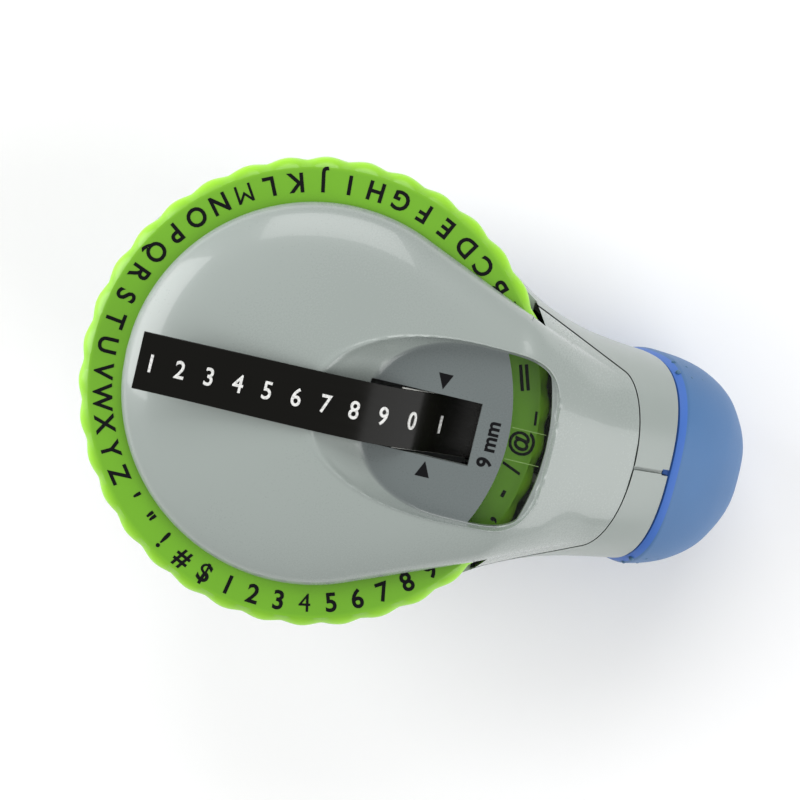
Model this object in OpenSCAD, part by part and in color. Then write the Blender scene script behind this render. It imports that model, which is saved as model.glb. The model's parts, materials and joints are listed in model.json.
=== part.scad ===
// Hand-held embossing label maker: a turning character dial under a domed cover, a squeeze
// trigger that presses one punch into the plastic tape, a ratchet feed and a tape bay in the
// handle, closed by an end cap that slides off.
// The wheel axis is vertical. Modules work with the wheel axis at X = 0 and the table at Z = 0;
// at_wheel() then moves them so that the origin is at the bottom centre of the whole object.

/* [Dial] */
// Diameter of the character dial over its scallops
dial_d = 72; // [66:1:84]
// Thickness of the dial ring
dial_h = 4.3; // [3.6:0.1:6]
// Finger scallops round the dial
scallops = 36; // [24:2:48]
// Characters on the dial
characters = 50; // [40:1:50]
// Depth of each scallop
scallop_depth = 0.5; // [0.2:0.1:1]

/* [Body] */
// Height of the underside of the dial above the table
dial_z = 41.5; // [40:0.5:50]
// Rise of the dome above the cover's edge
dome_rise = 7.3; // [5.5:0.1:10]
// Radius of the dome's edge
dome_r = 29.2; // [27.5:0.1:31]
// Distance from the wheel axis to the tip of the handle
handle_reach = 69; // [67:1:76]
// Width of the handle
handle_w = 33.2; // [32:0.2:40]
// Wall thickness of the casings
wall = 1.9; // [1.4:0.1:2.2]
// Slope of the joint between the handle and the end cap
cap_slope = 25; // [20:1:30]

/* [Tape] */
// Width of the embossing tape
tape_w = 9; // [6:0.5:12]
// Thickness of the tape with its backing
tape_t = 0.3; // [0.2:0.05:0.4]
// Outer diameter of the tape roll
roll_d = 24.4; // [18:0.2:25]
// Advance of the tape for each character
pitch = 4.15; // [3.8:0.05:4.4]

/* [Mechanism] */
// Squeeze of the trigger in degrees
trigger_angle = 9.5; // [6:0.5:9.5]
// Width of the trigger
trigger_w = 23; // [20:0.5:24]
// Clearance between parts that move past each other
gap = 0.4; // [0.3:0.05:0.6]
// Radial clearance of a pin in its hole
fit = 0.06; // [0.03:0.01:0.1]
// Teeth of the inner gear on each ring
ring_teeth = 70; // [60:2:72]
// Teeth of the pinion that keeps the two rings in step
pinion_teeth = 12; // [12:1:14]
// Tooth module
tooth_module = 0.8; // [0.7:0.05:0.8]
// Teeth of the feed ratchet
ratchet_teeth = 7; // [6:1:9]

/* [Hidden] */
$fn = 64;
eps = 0.01;

// Wheel and stack heights
dial_r = dial_d / 2;
cap_proud = 0.7;
wheel_x = -(handle_reach + cap_proud - dial_r) / 2;
dial_top = dial_z + dial_h;
cover_z = dial_top + 0.5;
dome_top = cover_z + dome_rise;
tape_z = dial_z - 0.55;
punch_ring_top = dial_z - 1.5;
punch_ring_h = 3.5;
punch_ring_z = punch_ring_top - punch_ring_h;
finger_h = 1.2;
plate_top = punch_ring_z - gap;
plate_h = 2.5;
gear_r = ring_teeth * tooth_module / 2;
gear_root = gear_r + 1.0 * tooth_module;
gear_tip = gear_r - 0.85 * tooth_module;
pinion_r = pinion_teeth * tooth_module / 2;
pinion_x = -(gear_r - pinion_r);
punch_ring_r = gear_root + 3.4;
punch_r = punch_ring_r - 0.9;
ring_wall = 0.9;
plate_r = punch_ring_r - 1.6;
saucer_r = punch_ring_r + gap + 1.9;
dial_clear_r = dial_r + 0.6;
journal_r = gear_tip - 0.3;

// Tape slot, window and recess in the cover
plate_z = cover_z + 3.0;
slot_x0 = 7.9;
slot_x1 = 25.7;
slot_w = tape_w + 0.7;
window_r0 = 30;
lens_h = 0.7;
lens_z = plate_z - lens_h - 0.2;

// Trigger, lever and ram
trigger_pivot = [-13, 9.4];
cam_x = 20;
lever_pivot = [43, 23];
ram_x = punch_r;
lever_ratio = (cam_x - trigger_pivot[0]) / (lever_pivot[0] - cam_x);
ram_arm = lever_pivot[0] - ram_x;
roller_r = 2.5;
roller_z = 17.5;
lever_top = 24.5;
pin_r = 1.25;
arch_z = 13;
arch_x0 = -8;
arch_x1 = 37.2;
chin_floor = 2;
arm_w = 12;
trigger_pin_l = 22;
bush_z = 29.6;

// Feed rollers and tape bay
nip = [43, 37.6];
nip_angle = 24;
nip_gap = tape_t / 2 + 0.15;
feed_r = ratchet_teeth * pitch / (2 * PI);
pinch_r = 2.2;
feed_c = [nip[0] - sin(nip_angle) * (feed_r + nip_gap), nip[1] - cos(nip_angle) * (feed_r + nip_gap)];
pinch_c = [nip[0] + sin(nip_angle) * (pinch_r + nip_gap), nip[1] + cos(nip_angle) * (pinch_r + nip_gap)];
roller_w = tape_w - 1;
ratchet_r = 3.6;
ratchet_w = 1.8;
roll_c = [52.3, 19.4];
roll_r = roll_d / 2;
post_d = 6;
core_r = 5;
side_y = tape_w / 2 + 3.8;
side_t = 1.6;
ratchet_y = 1.1 - side_y;

// Cap joint plane: passes through cap_top at cap_slope from the vertical
cap_top = [56.2, 38.2];
tongue_t = 1.4;
snap_l = 1.3;
snap_w = 2;

// Stations of the outer body: X, half width, top, bottom, height of the widest line
hw = handle_w / 2;
body = [
    [-saucer_r - 0.9, 1.5, 39.4, 36.4, 38],
    [-34.4, 9, 40, 34, 38],
    [-31, 17.8, 41, 25.5, 38],
    [-25, 25, 43, 12, 38],
    [-19.5, 29, 44, 2.6, 38],
    [-14, 32, 44, -0.6, 38],
    [-6, 34.6, 45, -0.6, 38],
    [3, 35, 47, -0.6, 38],
    [12, 32.6, 50, -0.6, 38],
    [21, 27.6, 52.4, -0.6, 37],
    [31, hw + 4.6, 53.2, -0.6, 34.6],
    [38, hw + 1.9, 50, -0.6, 31],
    [44, hw + 0.7, 46.2, -0.6, 27.6],
    [50, hw, 42.4, -0.6, 24.6],
    [56, hw - 0.7, 38.2, -0.6, 22],
    [60.5, hw - 2.2, 34.2, -0.2, 19.8],
    [64.5, hw - 5, 29.4, 2, 17.8],
    [handle_reach - 1.9, hw - 8.7, 24.6, 5.4, 16.4],
    [handle_reach - 0.5, hw - 12, 20.6, 9.6, 15.5],
    [handle_reach, 1.6, 17, 13.4, 15.2]];
section_steps = 24;
upper_power = 2.5;

// ---------------------------------------------------------------- curves and shapes

// Slope of column k at row i of a table, for a smooth curve through its rows
function slope(t, i, k) =
    i == 0 ? (t[1][k] - t[0][k]) / (t[1][0] - t[0][0]) :
    i == len(t) - 1 ? (t[i][k] - t[i - 1][k]) / (t[i][0] - t[i - 1][0]) :
    (t[i + 1][k] - t[i - 1][k]) / (t[i + 1][0] - t[i - 1][0]);

function row_at(t, x, i = 0) = i >= len(t) - 2 || x <= t[i + 1][0] ? i : row_at(t, x, i + 1);

// Smooth value of column k at x: a cubic through the rows of the table
function smooth(t, x, k) =
    let (i = row_at(t, x), h = t[i + 1][0] - t[i][0], s = min(1, max(0, (x - t[i][0]) / h)))
    (2 * pow(s, 3) - 3 * pow(s, 2) + 1) * t[i][k]
    + (pow(s, 3) - 2 * pow(s, 2) + s) * h * slope(t, i, k)
    + (3 * pow(s, 2) - 2 * pow(s, 3)) * t[i + 1][k]
    + (pow(s, 3) - pow(s, 2)) * h * slope(t, i + 1, k);

function spow(v, p) = sign(v) * pow(abs(v), p);

// Fullness of the section below its widest line: lean under the head, round in the handle
function lower_power(x) = x < 10 ? 1.75 : x > 44 ? 2.1 : 1.75 + 0.35 * (x - 10) / 34;

// One closed section of the body at x, inset by d
function section(x, d) = [
    for (i = [0:section_steps - 1])
        let (a = 360 * i / section_steps, w = max(0.3, smooth(body, x, 1) - d),
             m = smooth(body, x, 4), up = max(0.3, smooth(body, x, 2) - d - m),
             down = max(0.3, m - smooth(body, x, 3) - d),
             p = 2 / (sin(a) >= 0 ? upper_power : lower_power(x)))
        [x, w * spow(cos(a), p), m + (sin(a) >= 0 ? up : down) * spow(sin(a), p)]];

// Closed skin through a list of rings with equal point counts
module skin(rings) {
    n = len(rings[0]);
    m = len(rings);
    points = [for (r = rings) each r];
    sides = [
        for (j = [0:m - 2]) for (i = [0:n - 1])
            each [[j * n + i, (j + 1) * n + (i + 1) % n, j * n + (i + 1) % n],
                  [j * n + i, (j + 1) * n + i, (j + 1) * n + (i + 1) % n]]];
    caps = [[for (i = [0:n - 1]) i], [for (i = [n - 1:-1:0]) (m - 1) * n + i]];
    polyhedron(points = points, faces = concat(sides, caps), convexity = 6);
}

// Body skin inset by d. Its first and last sections move inwards with it.
module body_skin(d) {
    n = len(body) - 1;
    skin([for (i = [0:n])
        let (x = body[i][0], tip = max(0, (x - 50) / (handle_reach - 50)), front = max(0, (-20 - x) / 15.4))
        [for (q = section(x, d)) [x - d * pow(tip, 1.5) + d * min(1, front), q[1], q[2]]]]);
}

// Half width of the body's outside at x and z, below its widest line
function wall_y(x, z) =
    let (m = smooth(body, x, 4), p = lower_power(x), t = max(0, (m - z) / (m - smooth(body, x, 3))))
    smooth(body, x, 1) * pow(1 - pow(t, p), 1 / p);

// Moves a part from the wheel's axis to the origin at the object's bottom centre
module at_wheel() {
    translate([wheel_x, 0, 0]) children();
}

// Cylinder along Y with its axis through [x, z], from y0 to y1
module across(c, y0, y1, r, fn = 48) {
    translate([c[0], y0, c[1]]) rotate([-90, 0, 0]) cylinder(h = y1 - y0, r = r, $fn = fn);
}

// Side profile in X and Z, extruded across Y over the width w
module profile(w, y = 0) {
    translate([0, y + w / 2, 0]) rotate([90, 0, 0]) linear_extrude(height = w) children();
}

// Involute flank: angle from the tooth's centre line at radius r
function flank_angle(r, teeth, sign_in, lash) =
    let (p = teeth * tooth_module / 2, pa = 22, b = p * cos(pa),
         inv_p = tan(pa) - pa * PI / 180,
         al = r <= b ? 0 : acos(b / r), inv_r = tan(al) - al * PI / 180)
    90 / teeth + sign_in * lash / (2 * p) * 180 / PI + (inv_p - inv_r) * 180 / PI;

// Outline of a gear's teeth between two radii. A pinion's teeth are slimmed by lash; the same
// outline widened by lash cuts the spaces of the inner gear.
function teeth_outline(teeth, r0, r1, sign_in, lash) = [
    for (k = [0:teeth - 1])
        let (c = 360 * k / teeth, rm = (r0 + r1) / 2)
        each concat(
            [for (r = [r0, rm, r1]) r * [cos(c - flank_angle(r, teeth, sign_in, lash)),
                                         sin(c - flank_angle(r, teeth, sign_in, lash))]],
            [for (r = [r1, rm, r0]) r * [cos(c + flank_angle(r, teeth, sign_in, lash)),
                                         sin(c + flank_angle(r, teeth, sign_in, lash))]])];

module inner_gear_cut() {
    polygon(teeth_outline(ring_teeth, gear_tip, gear_root, 1, 0.12));
}

// Helical wire along Z from z0 to z1 round the mean radius r
module coil(z0, z1, r, wire, turns, sides = 6, per_turn = 12) {
    n = ceil(turns * per_turn);
    rise = (z1 - z0 - wire) / n;
    skin([for (i = [0:n])
        [for (k = [0:sides - 1])
            let (a = 360 * i / per_turn, b = -360 * k / sides, q = r + wire / 2 * cos(b))
            [q * cos(a), q * sin(a), z0 + wire / 2 + i * rise + wire / 2 * sin(b)]]]);
}

// Countersunk-head screw pointing down +Z from its head at z = 0
module screw(length, r = 1.1, head_r = 2.1) {
    difference() {
        union() {
            cylinder(h = length, r = r, $fn = 24);
            cylinder(h = 1.4, r = head_r, $fn = 32);
        }
        for (a = [0, 90]) rotate(a) translate([-1.2, -0.25, -eps]) cube([2.4, 0.5, 0.8]);
    }
}

// Side of the cap plane: everything behind the joint, moved back by d
module behind_joint(d = 0) {
    translate([cap_top[0] + d / cos(cap_slope), -60, cap_top[1]]) rotate([0, cap_slope, 0])
        translate([0, 0, -90]) cube([80, 120, 180]);
}

// ---------------------------------------------------------------- cover

// Plan of the neck's part of the cover: straight sides into a rounded nose
nose_x = 44.8;
nose_len = 5.4;
nose_w = 14;
neck_w = 20.9;
neck_x = 29.6;
module neck_plan(d = 0) {
    polygon(concat([[neck_x, neck_w - d]],
                   [for (a = [80:-20:-80]) [nose_x + (nose_len - d) * cos(a), (nose_w - d) * sin(a)]],
                   [[neck_x, d - neck_w]]));
}

// Half width of the dome in plan at x: round in front, straight tangents towards the neck
dome_join_x = 34;
dome_join_w = 17.4;
function dome_w(x, d) =
    let (r = dome_r - d, x1 = 11.9, y1 = sqrt(max(0, r * r - x1 * x1)))
    x < x1 ? sqrt(max(0.09, r * r - x * x)) :
    y1 + (dome_join_w - d - y1) * (x - x1) / (dome_join_x - x1);

// Height of the dome's ridge at x
function ridge(x, d) =
    x < 4 ? cover_z + (dome_rise - d) * pow(max(0, 1 - pow((4 - x) / (dome_r - d + 4), 2)), 0.5) :
    dome_top - d - 1.5 * pow((x - 4) / 30, 2);

module dome(d = 0) {
    first = -(dome_r - d) + 0.02;
    xs = concat([first, first + 0.5, first + 1.6, first + 3.4],
                [for (i = [2:10]) first + (dome_join_x - first) * i / 10]);
    skin([for (x = xs)
        concat([for (i = [0:16])
            let (a = 180 * i / 16, w = dome_w(x, d))
            [x, w * spow(cos(a), 0.95), cover_z + max(0.05, ridge(x, d) - cover_z) * spow(sin(a), 0.92)]],
            [[x, -dome_w(x, d), cover_z - d - eps], [x, dome_w(x, d), cover_z - d - eps]])]);
}

// Eye-shaped recess round the tape: half width w at x, between the ends x0 and x1
eye_x = 24;
function eye_half(x, x0, x1, w) =
    x < eye_x ? w * pow(max(0, 1 - pow((eye_x - x) / (eye_x - x0), 2.3)), 1 / 2.3)
              : w * pow(max(0, 1 - pow((x - eye_x) / (x1 - eye_x), 4)), 1 / 4);
module eye_plan(x0, x1, w) {
    n = 12;
    xs = [for (i = [0:n]) let (c = cos(180 * i / n)) x0 + (x1 - x0) * (1 - c) / 2];
    polygon(concat([for (x = xs) [x, eye_half(x, x0, x1, w)]],
                   [for (i = [n - 1:-1:1]) [xs[i], -eye_half(xs[i], x0, x1, w)]]));
}
eye_w = 13.3;
eye_front = 7.9;
eye_rear = dial_clear_r - 0.25;
crest_front = -1;
crest_rear = eye_rear + 1.1;
crest_w = eye_w + 0.9;

// The recess, grown outwards by g
module recess(g = 0) {
    hull() {
        translate([0, 0, dome_top + 0.4]) linear_extrude(height = 0.1)
            eye_plan(crest_front - g, crest_rear + g, crest_w + g);
        translate([0, 0, plate_z - g]) linear_extrude(height = 0.1)
            eye_plan(eye_front - g, eye_rear + g / 2, eye_w + g);
    }
}

module neck_block(d) {
    intersection() {
        body_skin(d);
        translate([0, 0, plate_top + 1 - d]) linear_extrude(height = 30) neck_plan(d);
    }
}

// Plan of the window: the part of the eye behind the window's front arc, inset by d
module window_plan(d) {
    difference() {
        intersection() {
            eye_plan(eye_front, eye_rear - d, eye_w - d);
            translate([20, -20]) square([30, 40]);
        }
        circle(r = window_r0 + d, $fn = 96);
    }
}

// The dome and the neck as one solid
module cover_form(d) {
    dome(d);
    neck_block(d);
}

module top_cover() {
    color("gainsboro") at_wheel() difference() {
        union() {
            difference() {
                cover_form(0);
                difference() {
                    cover_form(wall);
                    // Floor and side of the recess are backed by one wall thickness
                    recess(1.5);
                }
            }
            // Bosses for the cover screws
            for (p = cover_screw_places) translate([p[0], p[1], post_top])
                cylinder(h = 2.4, r = post_r, $fn = 32);
        }
        recess();
        // Room for the dial
        translate([0, 0, 20]) cylinder(h = cover_z - 20, r = dial_clear_r, $fn = 128);
        // Tape slot, then the character window with a rebate for its lens
        translate([slot_x0, -slot_w / 2, cover_z - 3]) cube([slot_x1 - slot_x0, slot_w, 20]);
        translate([0, 0, cover_z - 3]) linear_extrude(height = 20) window_plan(0.8);
        translate([0, 0, lens_z]) linear_extrude(height = 20) window_plan(0);
        for (p = cover_screw_places) translate([p[0], p[1], 30]) cylinder(h = post_top - 30 + 1.8, r = 0.9, $fn = 24);
    }
}

module window_lens() {
    color([0.9, 0.95, 0.95, 0.3]) at_wheel() translate([0, 0, lens_z])
        linear_extrude(height = lens_h) window_plan(0.05);
}

// ---------------------------------------------------------------- casings

// Side profile of the arch over the trigger, grown upwards and outwards by g
module arch(g) {
    polygon([[arch_x0 - g, -9], [arch_x0 - g, arch_z - 7], [arch_x0 + 7, arch_z + g], [arch_x1 - 2, arch_z + g],
             [arch_x1 + g, arch_z - 2], [arch_x1 + g, -9]]);
}

// Space that the dial, the rings, the cover and the trigger take out of the casing
module casing_room() {
    translate([0, 0, dial_z - 0.55]) cylinder(h = 40, r = dial_clear_r, $fn = 96);
    translate([0, 0, punch_ring_top - finger_h - 0.55]) cylinder(h = 30, r = punch_ring_r + gap, $fn = 96);
    translate([0, 0, plate_top - plate_h - 0.1]) cylinder(h = 30, r = plate_r + 0.15, $fn = 96);
    // Seat of the cover's neck
    translate([0, 0, plate_top + 0.9]) linear_extrude(height = 60) neck_plan(-0.15);
    // In front of the neck everything above the saucer is open
    translate([-60, -60, dial_z - 0.55]) cube([60 + neck_x, 120, 40]);
    // Slot for the trigger and the way for its arm into the chin
    translate([arch_x0, -trigger_w / 2 - gap, -1]) cube([arch_x1 - arch_x0, trigger_w + 2 * gap, arch_z + 4]);
    translate([trigger_pivot[0] - 4.2, -arm_w / 2 - gap, chin_floor + 2.4]) cube([8, arm_w + 2 * gap, 20]);
    translate([trigger_pivot[0] + 1, -arm_w / 2 - gap, chin_floor])
        cube([arch_x0 - trigger_pivot[0], arm_w + 2 * gap, 20]);
}

screw_places = [[-22, 26], [-10, 29.2], [14, 29.2]];
boss_r = 2.5;

// End of a boss of radius r at p: the whole of it stays within the wall
function boss_end(p, r) = min([for (a = [0:45:315]) wall_y(p[0] + r * cos(a), p[1] + r * sin(a))]) - 0.3;

module casing() {
    difference() {
        union() {
            difference() {
                body_skin(0);
                difference() {
                    body_skin(wall);
                    // Walls of the arch and the floor of the chin are left standing
                    profile(90) arch(wall);
                    translate([-60, -60, -10]) cube([60 + arch_x0, 120, 10 + chin_floor]);
                }
                profile(90) arch(0);
                behind_joint();
            }
            for (p = screw_places) let (y = boss_end(p, boss_r)) across(p, -y, y, boss_r, 32);
            // Bearings of the trigger pin
            for (s = [-1, 1]) let (y = boss_end(trigger_pivot, 3))
                across(trigger_pivot, s > 0 ? arm_w / 2 + gap : -y, s > 0 ? y : -arm_w / 2 - gap, 3);
        }
        casing_room();
        translate([-80, -80, -20]) cube([200, 160, 20]);
        across(trigger_pivot, -trigger_pin_l / 2, trigger_pin_l / 2, pin_r);
        for (p = screw_places) across(p, -30, 9, 1.1, 24);
        for (p = screw_places) across(p, -60, -8, boss_r - 0.4, 24);
        // Notch of the cap's snap tongue
        translate([cap_top[0] - snap_l - gap, -snap_w / 2 - gap, cap_top[1] - 4]) cube([6, snap_w + 2 * gap, 8]);
    }
}

module left_housing() {
    color("gainsboro") at_wheel() intersection() {
        casing();
        translate([-60, 0, -5]) cube([200, 60, 90]);
    }
}

module right_housing() {
    color("gainsboro") at_wheel() intersection() {
        casing();
        translate([-60, -60, -5]) cube([200, 60, 90]);
    }
}

module housing_screws() {
    color("silver") at_wheel() for (p = screw_places)
        translate([p[0], -8, p[1]]) rotate([-90, 0, 0]) translate([0, 0, -1.4]) screw(16, 1.1, boss_r - 0.45);
}

// ---------------------------------------------------------------- chassis

cover_screw_places = [[12, 21.3], [12, -21.3], [-9, 22.7], [-9, -22.7]];
post_top = cover_z - 0.4;
post_r = 2.2;
plate_z0 = plate_top - plate_h;
bridge_x0 = ram_x - 4.6;
bridge_l = 7.6;

module chassis() {
    color("dimgray") at_wheel() difference() {
        union() {
            translate([0, 0, plate_z0]) cylinder(h = plate_h, r = plate_r, $fn = 96);
            // Journal that both rings turn on
            translate([0, 0, plate_z0]) difference() {
                cylinder(h = cover_z - plate_z0 - 0.5, r = journal_r, $fn = 96);
                translate([0, 0, plate_h]) cylinder(h = 30, r = journal_r - 1.5, $fn = 96);
            }
            // Posts for the cover screws
            for (p = cover_screw_places) translate([p[0], p[1], plate_z0 + 1])
                cylinder(h = post_top - plate_z0 - 1, r = post_r, $fn = 32);
            // Side plates that carry the feed rollers, the lever and the tape roll
            for (s = [-1, 1]) profile(side_t, s * (side_y + side_t / 2)) polygon([
                [bridge_x0 + 0.4, plate_z0 + 0.4], [bridge_x0 + 0.4, 29], [36, 27.6], [39.6, 17], [46, 13.5],
                [57, 14.5], [58, 20], [56, 26], [50, 31.5], [46.9, 35.6], [45.4, pinch_c[1] + 0.2],
                [44.6, pinch_c[1] + 1.2], [42.6, pinch_c[1] + 1.4], [36.4, plate_top]]);
            // Bridge between the side plates
            translate([bridge_x0, -side_y - side_t, plate_z0])
                cube([bridge_l, 2 * (side_y + side_t), plate_h - 0.1]);
            // Boss of the ram's bush
            translate([ram_x, 0, bush_z]) cylinder(h = plate_z0 - bush_z + 1, r = 3.4, $fn = 48);
            // Seat of the trigger spring
            translate([4, 0, 28]) cylinder(h = plate_z0 - 28 + 1, r = 5, $fn = 48);
        }
        // Windows in the journal: pinion, and the tape on its way to the chute
        translate([pinion_x, 0, plate_top]) cylinder(h = 40, r = pinion_r + 1.6, $fn = 64);
        translate([15, -tape_w / 2 - 1.4, plate_top]) cube([30, tape_w + 2.8, 30]);
        translate([pinion_x, 0, 20]) cylinder(h = 30, r = pin_r, $fn = 32);
        translate([ram_x, 0, 20]) cylinder(h = 30, r = 2.4, $fn = 48);
        translate([4, 0, 20]) cylinder(h = 10.5, r = 4.2, $fn = 48);
        // Way for the blade
        translate([blade_x - 1, -blade_w / 2 - 0.4, 20]) cube([2, blade_w + 0.8, 30]);
        across(feed_c, -20, 20, 1.5 + fit);
        across(pinch_c, -20, 20, 1);
        across(lever_pivot, -20, 20, pin_r);
        across(roll_c, -20, 20, post_d / 2);
        for (p = cover_screw_places) translate([p[0], p[1], 20]) cylinder(h = 40, r = 1.1, $fn = 24);
        for (p = cover_screw_places) translate([p[0], p[1], 20]) cylinder(h = plate_z0 + 1.4 - 20, r = 2.1, $fn = 24);
    }
}

module cover_screws() {
    color("silver") at_wheel() for (p = cover_screw_places) translate([p[0], p[1], plate_z0])
        screw(post_top + 1.6 - plate_z0, 0.9, 2.05);
}

// ---------------------------------------------------------------- tape and its path

// Route of the tape in X and Z, from its free end over the cover to the nip of the rollers
free_run = [[-26.4, dome_top + 3.9], [-16, dome_top + 2.7], [-6, dome_top + 1.7], [4, dome_top + 0.5],
            [10.5, dome_top - 1.2], [15.5, dome_top - 4.4], [19.5, dome_top - 8.2], [23, tape_z + 1.9],
            [26.4, tape_z + 0.35], [29, tape_z], [33, tape_z], [37, tape_z - 0.35],
            [40, tape_z - 1.35], nip];
tangent_angle = 90 - nip_angle - 1;
roll_touch = roll_c + (roll_r + tape_t / 2 + 0.25) * [cos(tangent_angle), sin(tangent_angle)];
route = concat(free_run, [roll_touch]);
route_xs = [for (i = [0:len(route) - 2]) each [for (k = [0:2]) route[i][0] + (route[i + 1][0] - route[i][0]) * k / 3],
            route[len(route) - 1][0]];
function route_z(x) = smooth(route, x, 1);
function route_point(x, d) =
    let (s = (route_z(x + 0.05) - route_z(x - 0.05)) / 0.1, n = [-s, 1] / sqrt(1 + s * s))
    [x, route_z(x)] + d * n;

// Strip of side profile that follows the route between offsets d0 and d1
module along_route(x0, x1, d0, d1) {
    xs = concat([x0], [for (x = route_xs) if (x > x0 + 0.2 && x < x1 - 0.2) x], [x1]);
    polygon(concat([for (x = xs) route_point(x, d0)],
                   [for (i = [len(xs) - 1:-1:0]) route_point(xs[i], d1)]));
}

module tape_strip() {
    color("black") at_wheel() profile(tape_w)
        along_route(route[0][0], roll_touch[0], -tape_t / 2, tape_t / 2);
}

// Channel that leads the tape from the rollers to the punch
module tape_guide() {
    x0 = punch_ring_r + gap + 0.2;
    x1 = nip[0] - 3.4;
    color("whitesmoke") at_wheel() difference() {
        union() {
            profile(tape_w + 2.4) along_route(x0, x1, -1.5, -tape_t / 2 - 0.12);
            for (s = [-1, 1]) profile(1.2, s * (tape_w / 2 + 0.75)) along_route(x0, x1, -1.5, 0.4);
        }
        across(feed_c, -20, 20, feed_r + 0.35);
    }
}

// Curved chute that turns the embossed tape up through the cover's slot
module exit_chute() {
    x1 = journal_r - 2.1;
    color("whitesmoke") at_wheel() difference() {
        union() {
            profile(tape_w + 0.2) along_route(slot_x0 + 5.5, x1, -1.2, -tape_t / 2 - 0.15);
            for (x = [13.6, x1 - 2.6]) translate([x, -2, plate_top])
                cube([2, 4, route_z(x + 2) - plate_top - 0.7]);
        }
    }
}

module tape_core() {
    color("white") at_wheel() difference() {
        across(roll_c, -tape_w / 2 - 0.2, tape_w / 2 + 0.2, core_r);
        across(roll_c, -20, 20, post_d / 2 + fit);
    }
}

module tape_roll() {
    color("black") at_wheel() difference() {
        across(roll_c, -tape_w / 2, tape_w / 2, roll_r);
        across(roll_c, -20, 20, core_r);
    }
}

module roll_post() {
    color("dimgray") at_wheel() across(roll_c, -side_y - side_t, side_y + side_t, post_d / 2);
}

// ---------------------------------------------------------------- dial and punch ring

function scallop_r(a) = dial_r - scallop_depth * (1 - abs(cos(a * scallops / 2)));
module scalloped() {
    n = scallops * 6;
    polygon([for (i = [0:n - 1]) let (a = 360 * i / n) scallop_r(a) * [cos(a), sin(a)]]);
}

module upper_dial() {
    bevel = 1;
    color("yellowgreen") at_wheel() difference() {
        translate([0, 0, dial_z]) intersection() {
            linear_extrude(height = dial_h) scalloped();
            union() {
                cylinder(h = dial_h - bevel, r = dial_r + 1, $fn = 96);
                translate([0, 0, dial_h - bevel - eps])
                    cylinder(h = bevel + eps, r1 = dial_r + 0.1, r2 = dial_r - 1.1, $fn = 96);
            }
        }
        translate([0, 0, dial_z - 1]) linear_extrude(height = dial_h + 2) inner_gear_cut();
        // Female dies on the underside, one for each character
        for (k = [0:characters - 1]) rotate(360 * k / characters)
            translate([punch_r, 0, dial_z - eps]) cylinder(h = 0.5, r = 1.15, $fn = 16);
        // Notches for the detent spring
        for (k = [0:characters - 1]) rotate(360 * (k + 0.5) / characters)
            translate([saucer_r - 0.9, 0, dial_z]) rotate([45, 0, 0]) translate([0, -0.35, -0.35])
                cube([5, 0.7, 0.7]);
    }
}

module lower_punch_ring() {
    color("dimgray") at_wheel() union() {
        difference() {
            union() {
                translate([0, 0, punch_ring_z]) cylinder(h = punch_ring_h, r = gear_root + ring_wall, $fn = 96);
                translate([0, 0, punch_ring_top - finger_h]) cylinder(h = finger_h, r = punch_ring_r, $fn = 96);
            }
            translate([0, 0, punch_ring_z - 1]) linear_extrude(height = punch_ring_h + 2) inner_gear_cut();
            // Slits that part the spring fingers
            for (k = [0:characters - 1]) rotate(360 * (k + 0.5) / characters)
                translate([gear_root + ring_wall, -0.3, punch_ring_z]) cube([5, 0.6, 10]);
        }
        for (k = [0:characters - 1]) rotate(360 * k / characters)
            translate([punch_r, 0, punch_ring_top - eps]) cylinder(h = 0.4, r = 0.85, $fn = 16);
    }
}

module sync_pinion() {
    r0 = pinion_r - 1.0 * tooth_module;
    r1 = pinion_r + 0.8 * tooth_module;
    color("white") at_wheel() translate([pinion_x, 0, plate_top + 0.2]) difference() {
        linear_extrude(height = dial_top - plate_top - 0.2)
            polygon(teeth_outline(pinion_teeth, r0, r1, -1, 0.12));
        translate([0, 0, -1]) cylinder(h = 20, r = pin_r + fit, $fn = 32);
    }
}

module pinion_pin() {
    color("silver") at_wheel() translate([pinion_x, 0, plate_top - plate_h])
        cylinder(h = dial_top - plate_top + plate_h + 0.4, r = pin_r, $fn = 32);
}

// Leaf spring in the saucer's rim: its bump sits in one notch of the dial
detent_angle = 180 + 360 * 0.5 / characters;
module detent_spring() {
    half = 4.5;
    seat = dial_z - 0.55;
    color("silver") at_wheel() rotate(detent_angle)
        translate([saucer_r - 0.95, 0, 0]) profile_x(0.8) polygon([
            [-half, seat], [-0.9, seat], [-0.25, dial_z - 0.1], [0.25, dial_z - 0.1], [0.9, seat], [half, seat],
            [half, seat + 0.2], [0.8, seat + 0.2], [0.15, dial_z + 0.15], [-0.15, dial_z + 0.15],
            [-0.8, seat + 0.2], [-half, seat + 0.2]]);
}

// Profile in Y and Z, extruded along X over the width w
module profile_x(w) {
    rotate([90, 0, 90]) linear_extrude(height = w) children();
}

// ---------------------------------------------------------------- trigger, lever and ram

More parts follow.
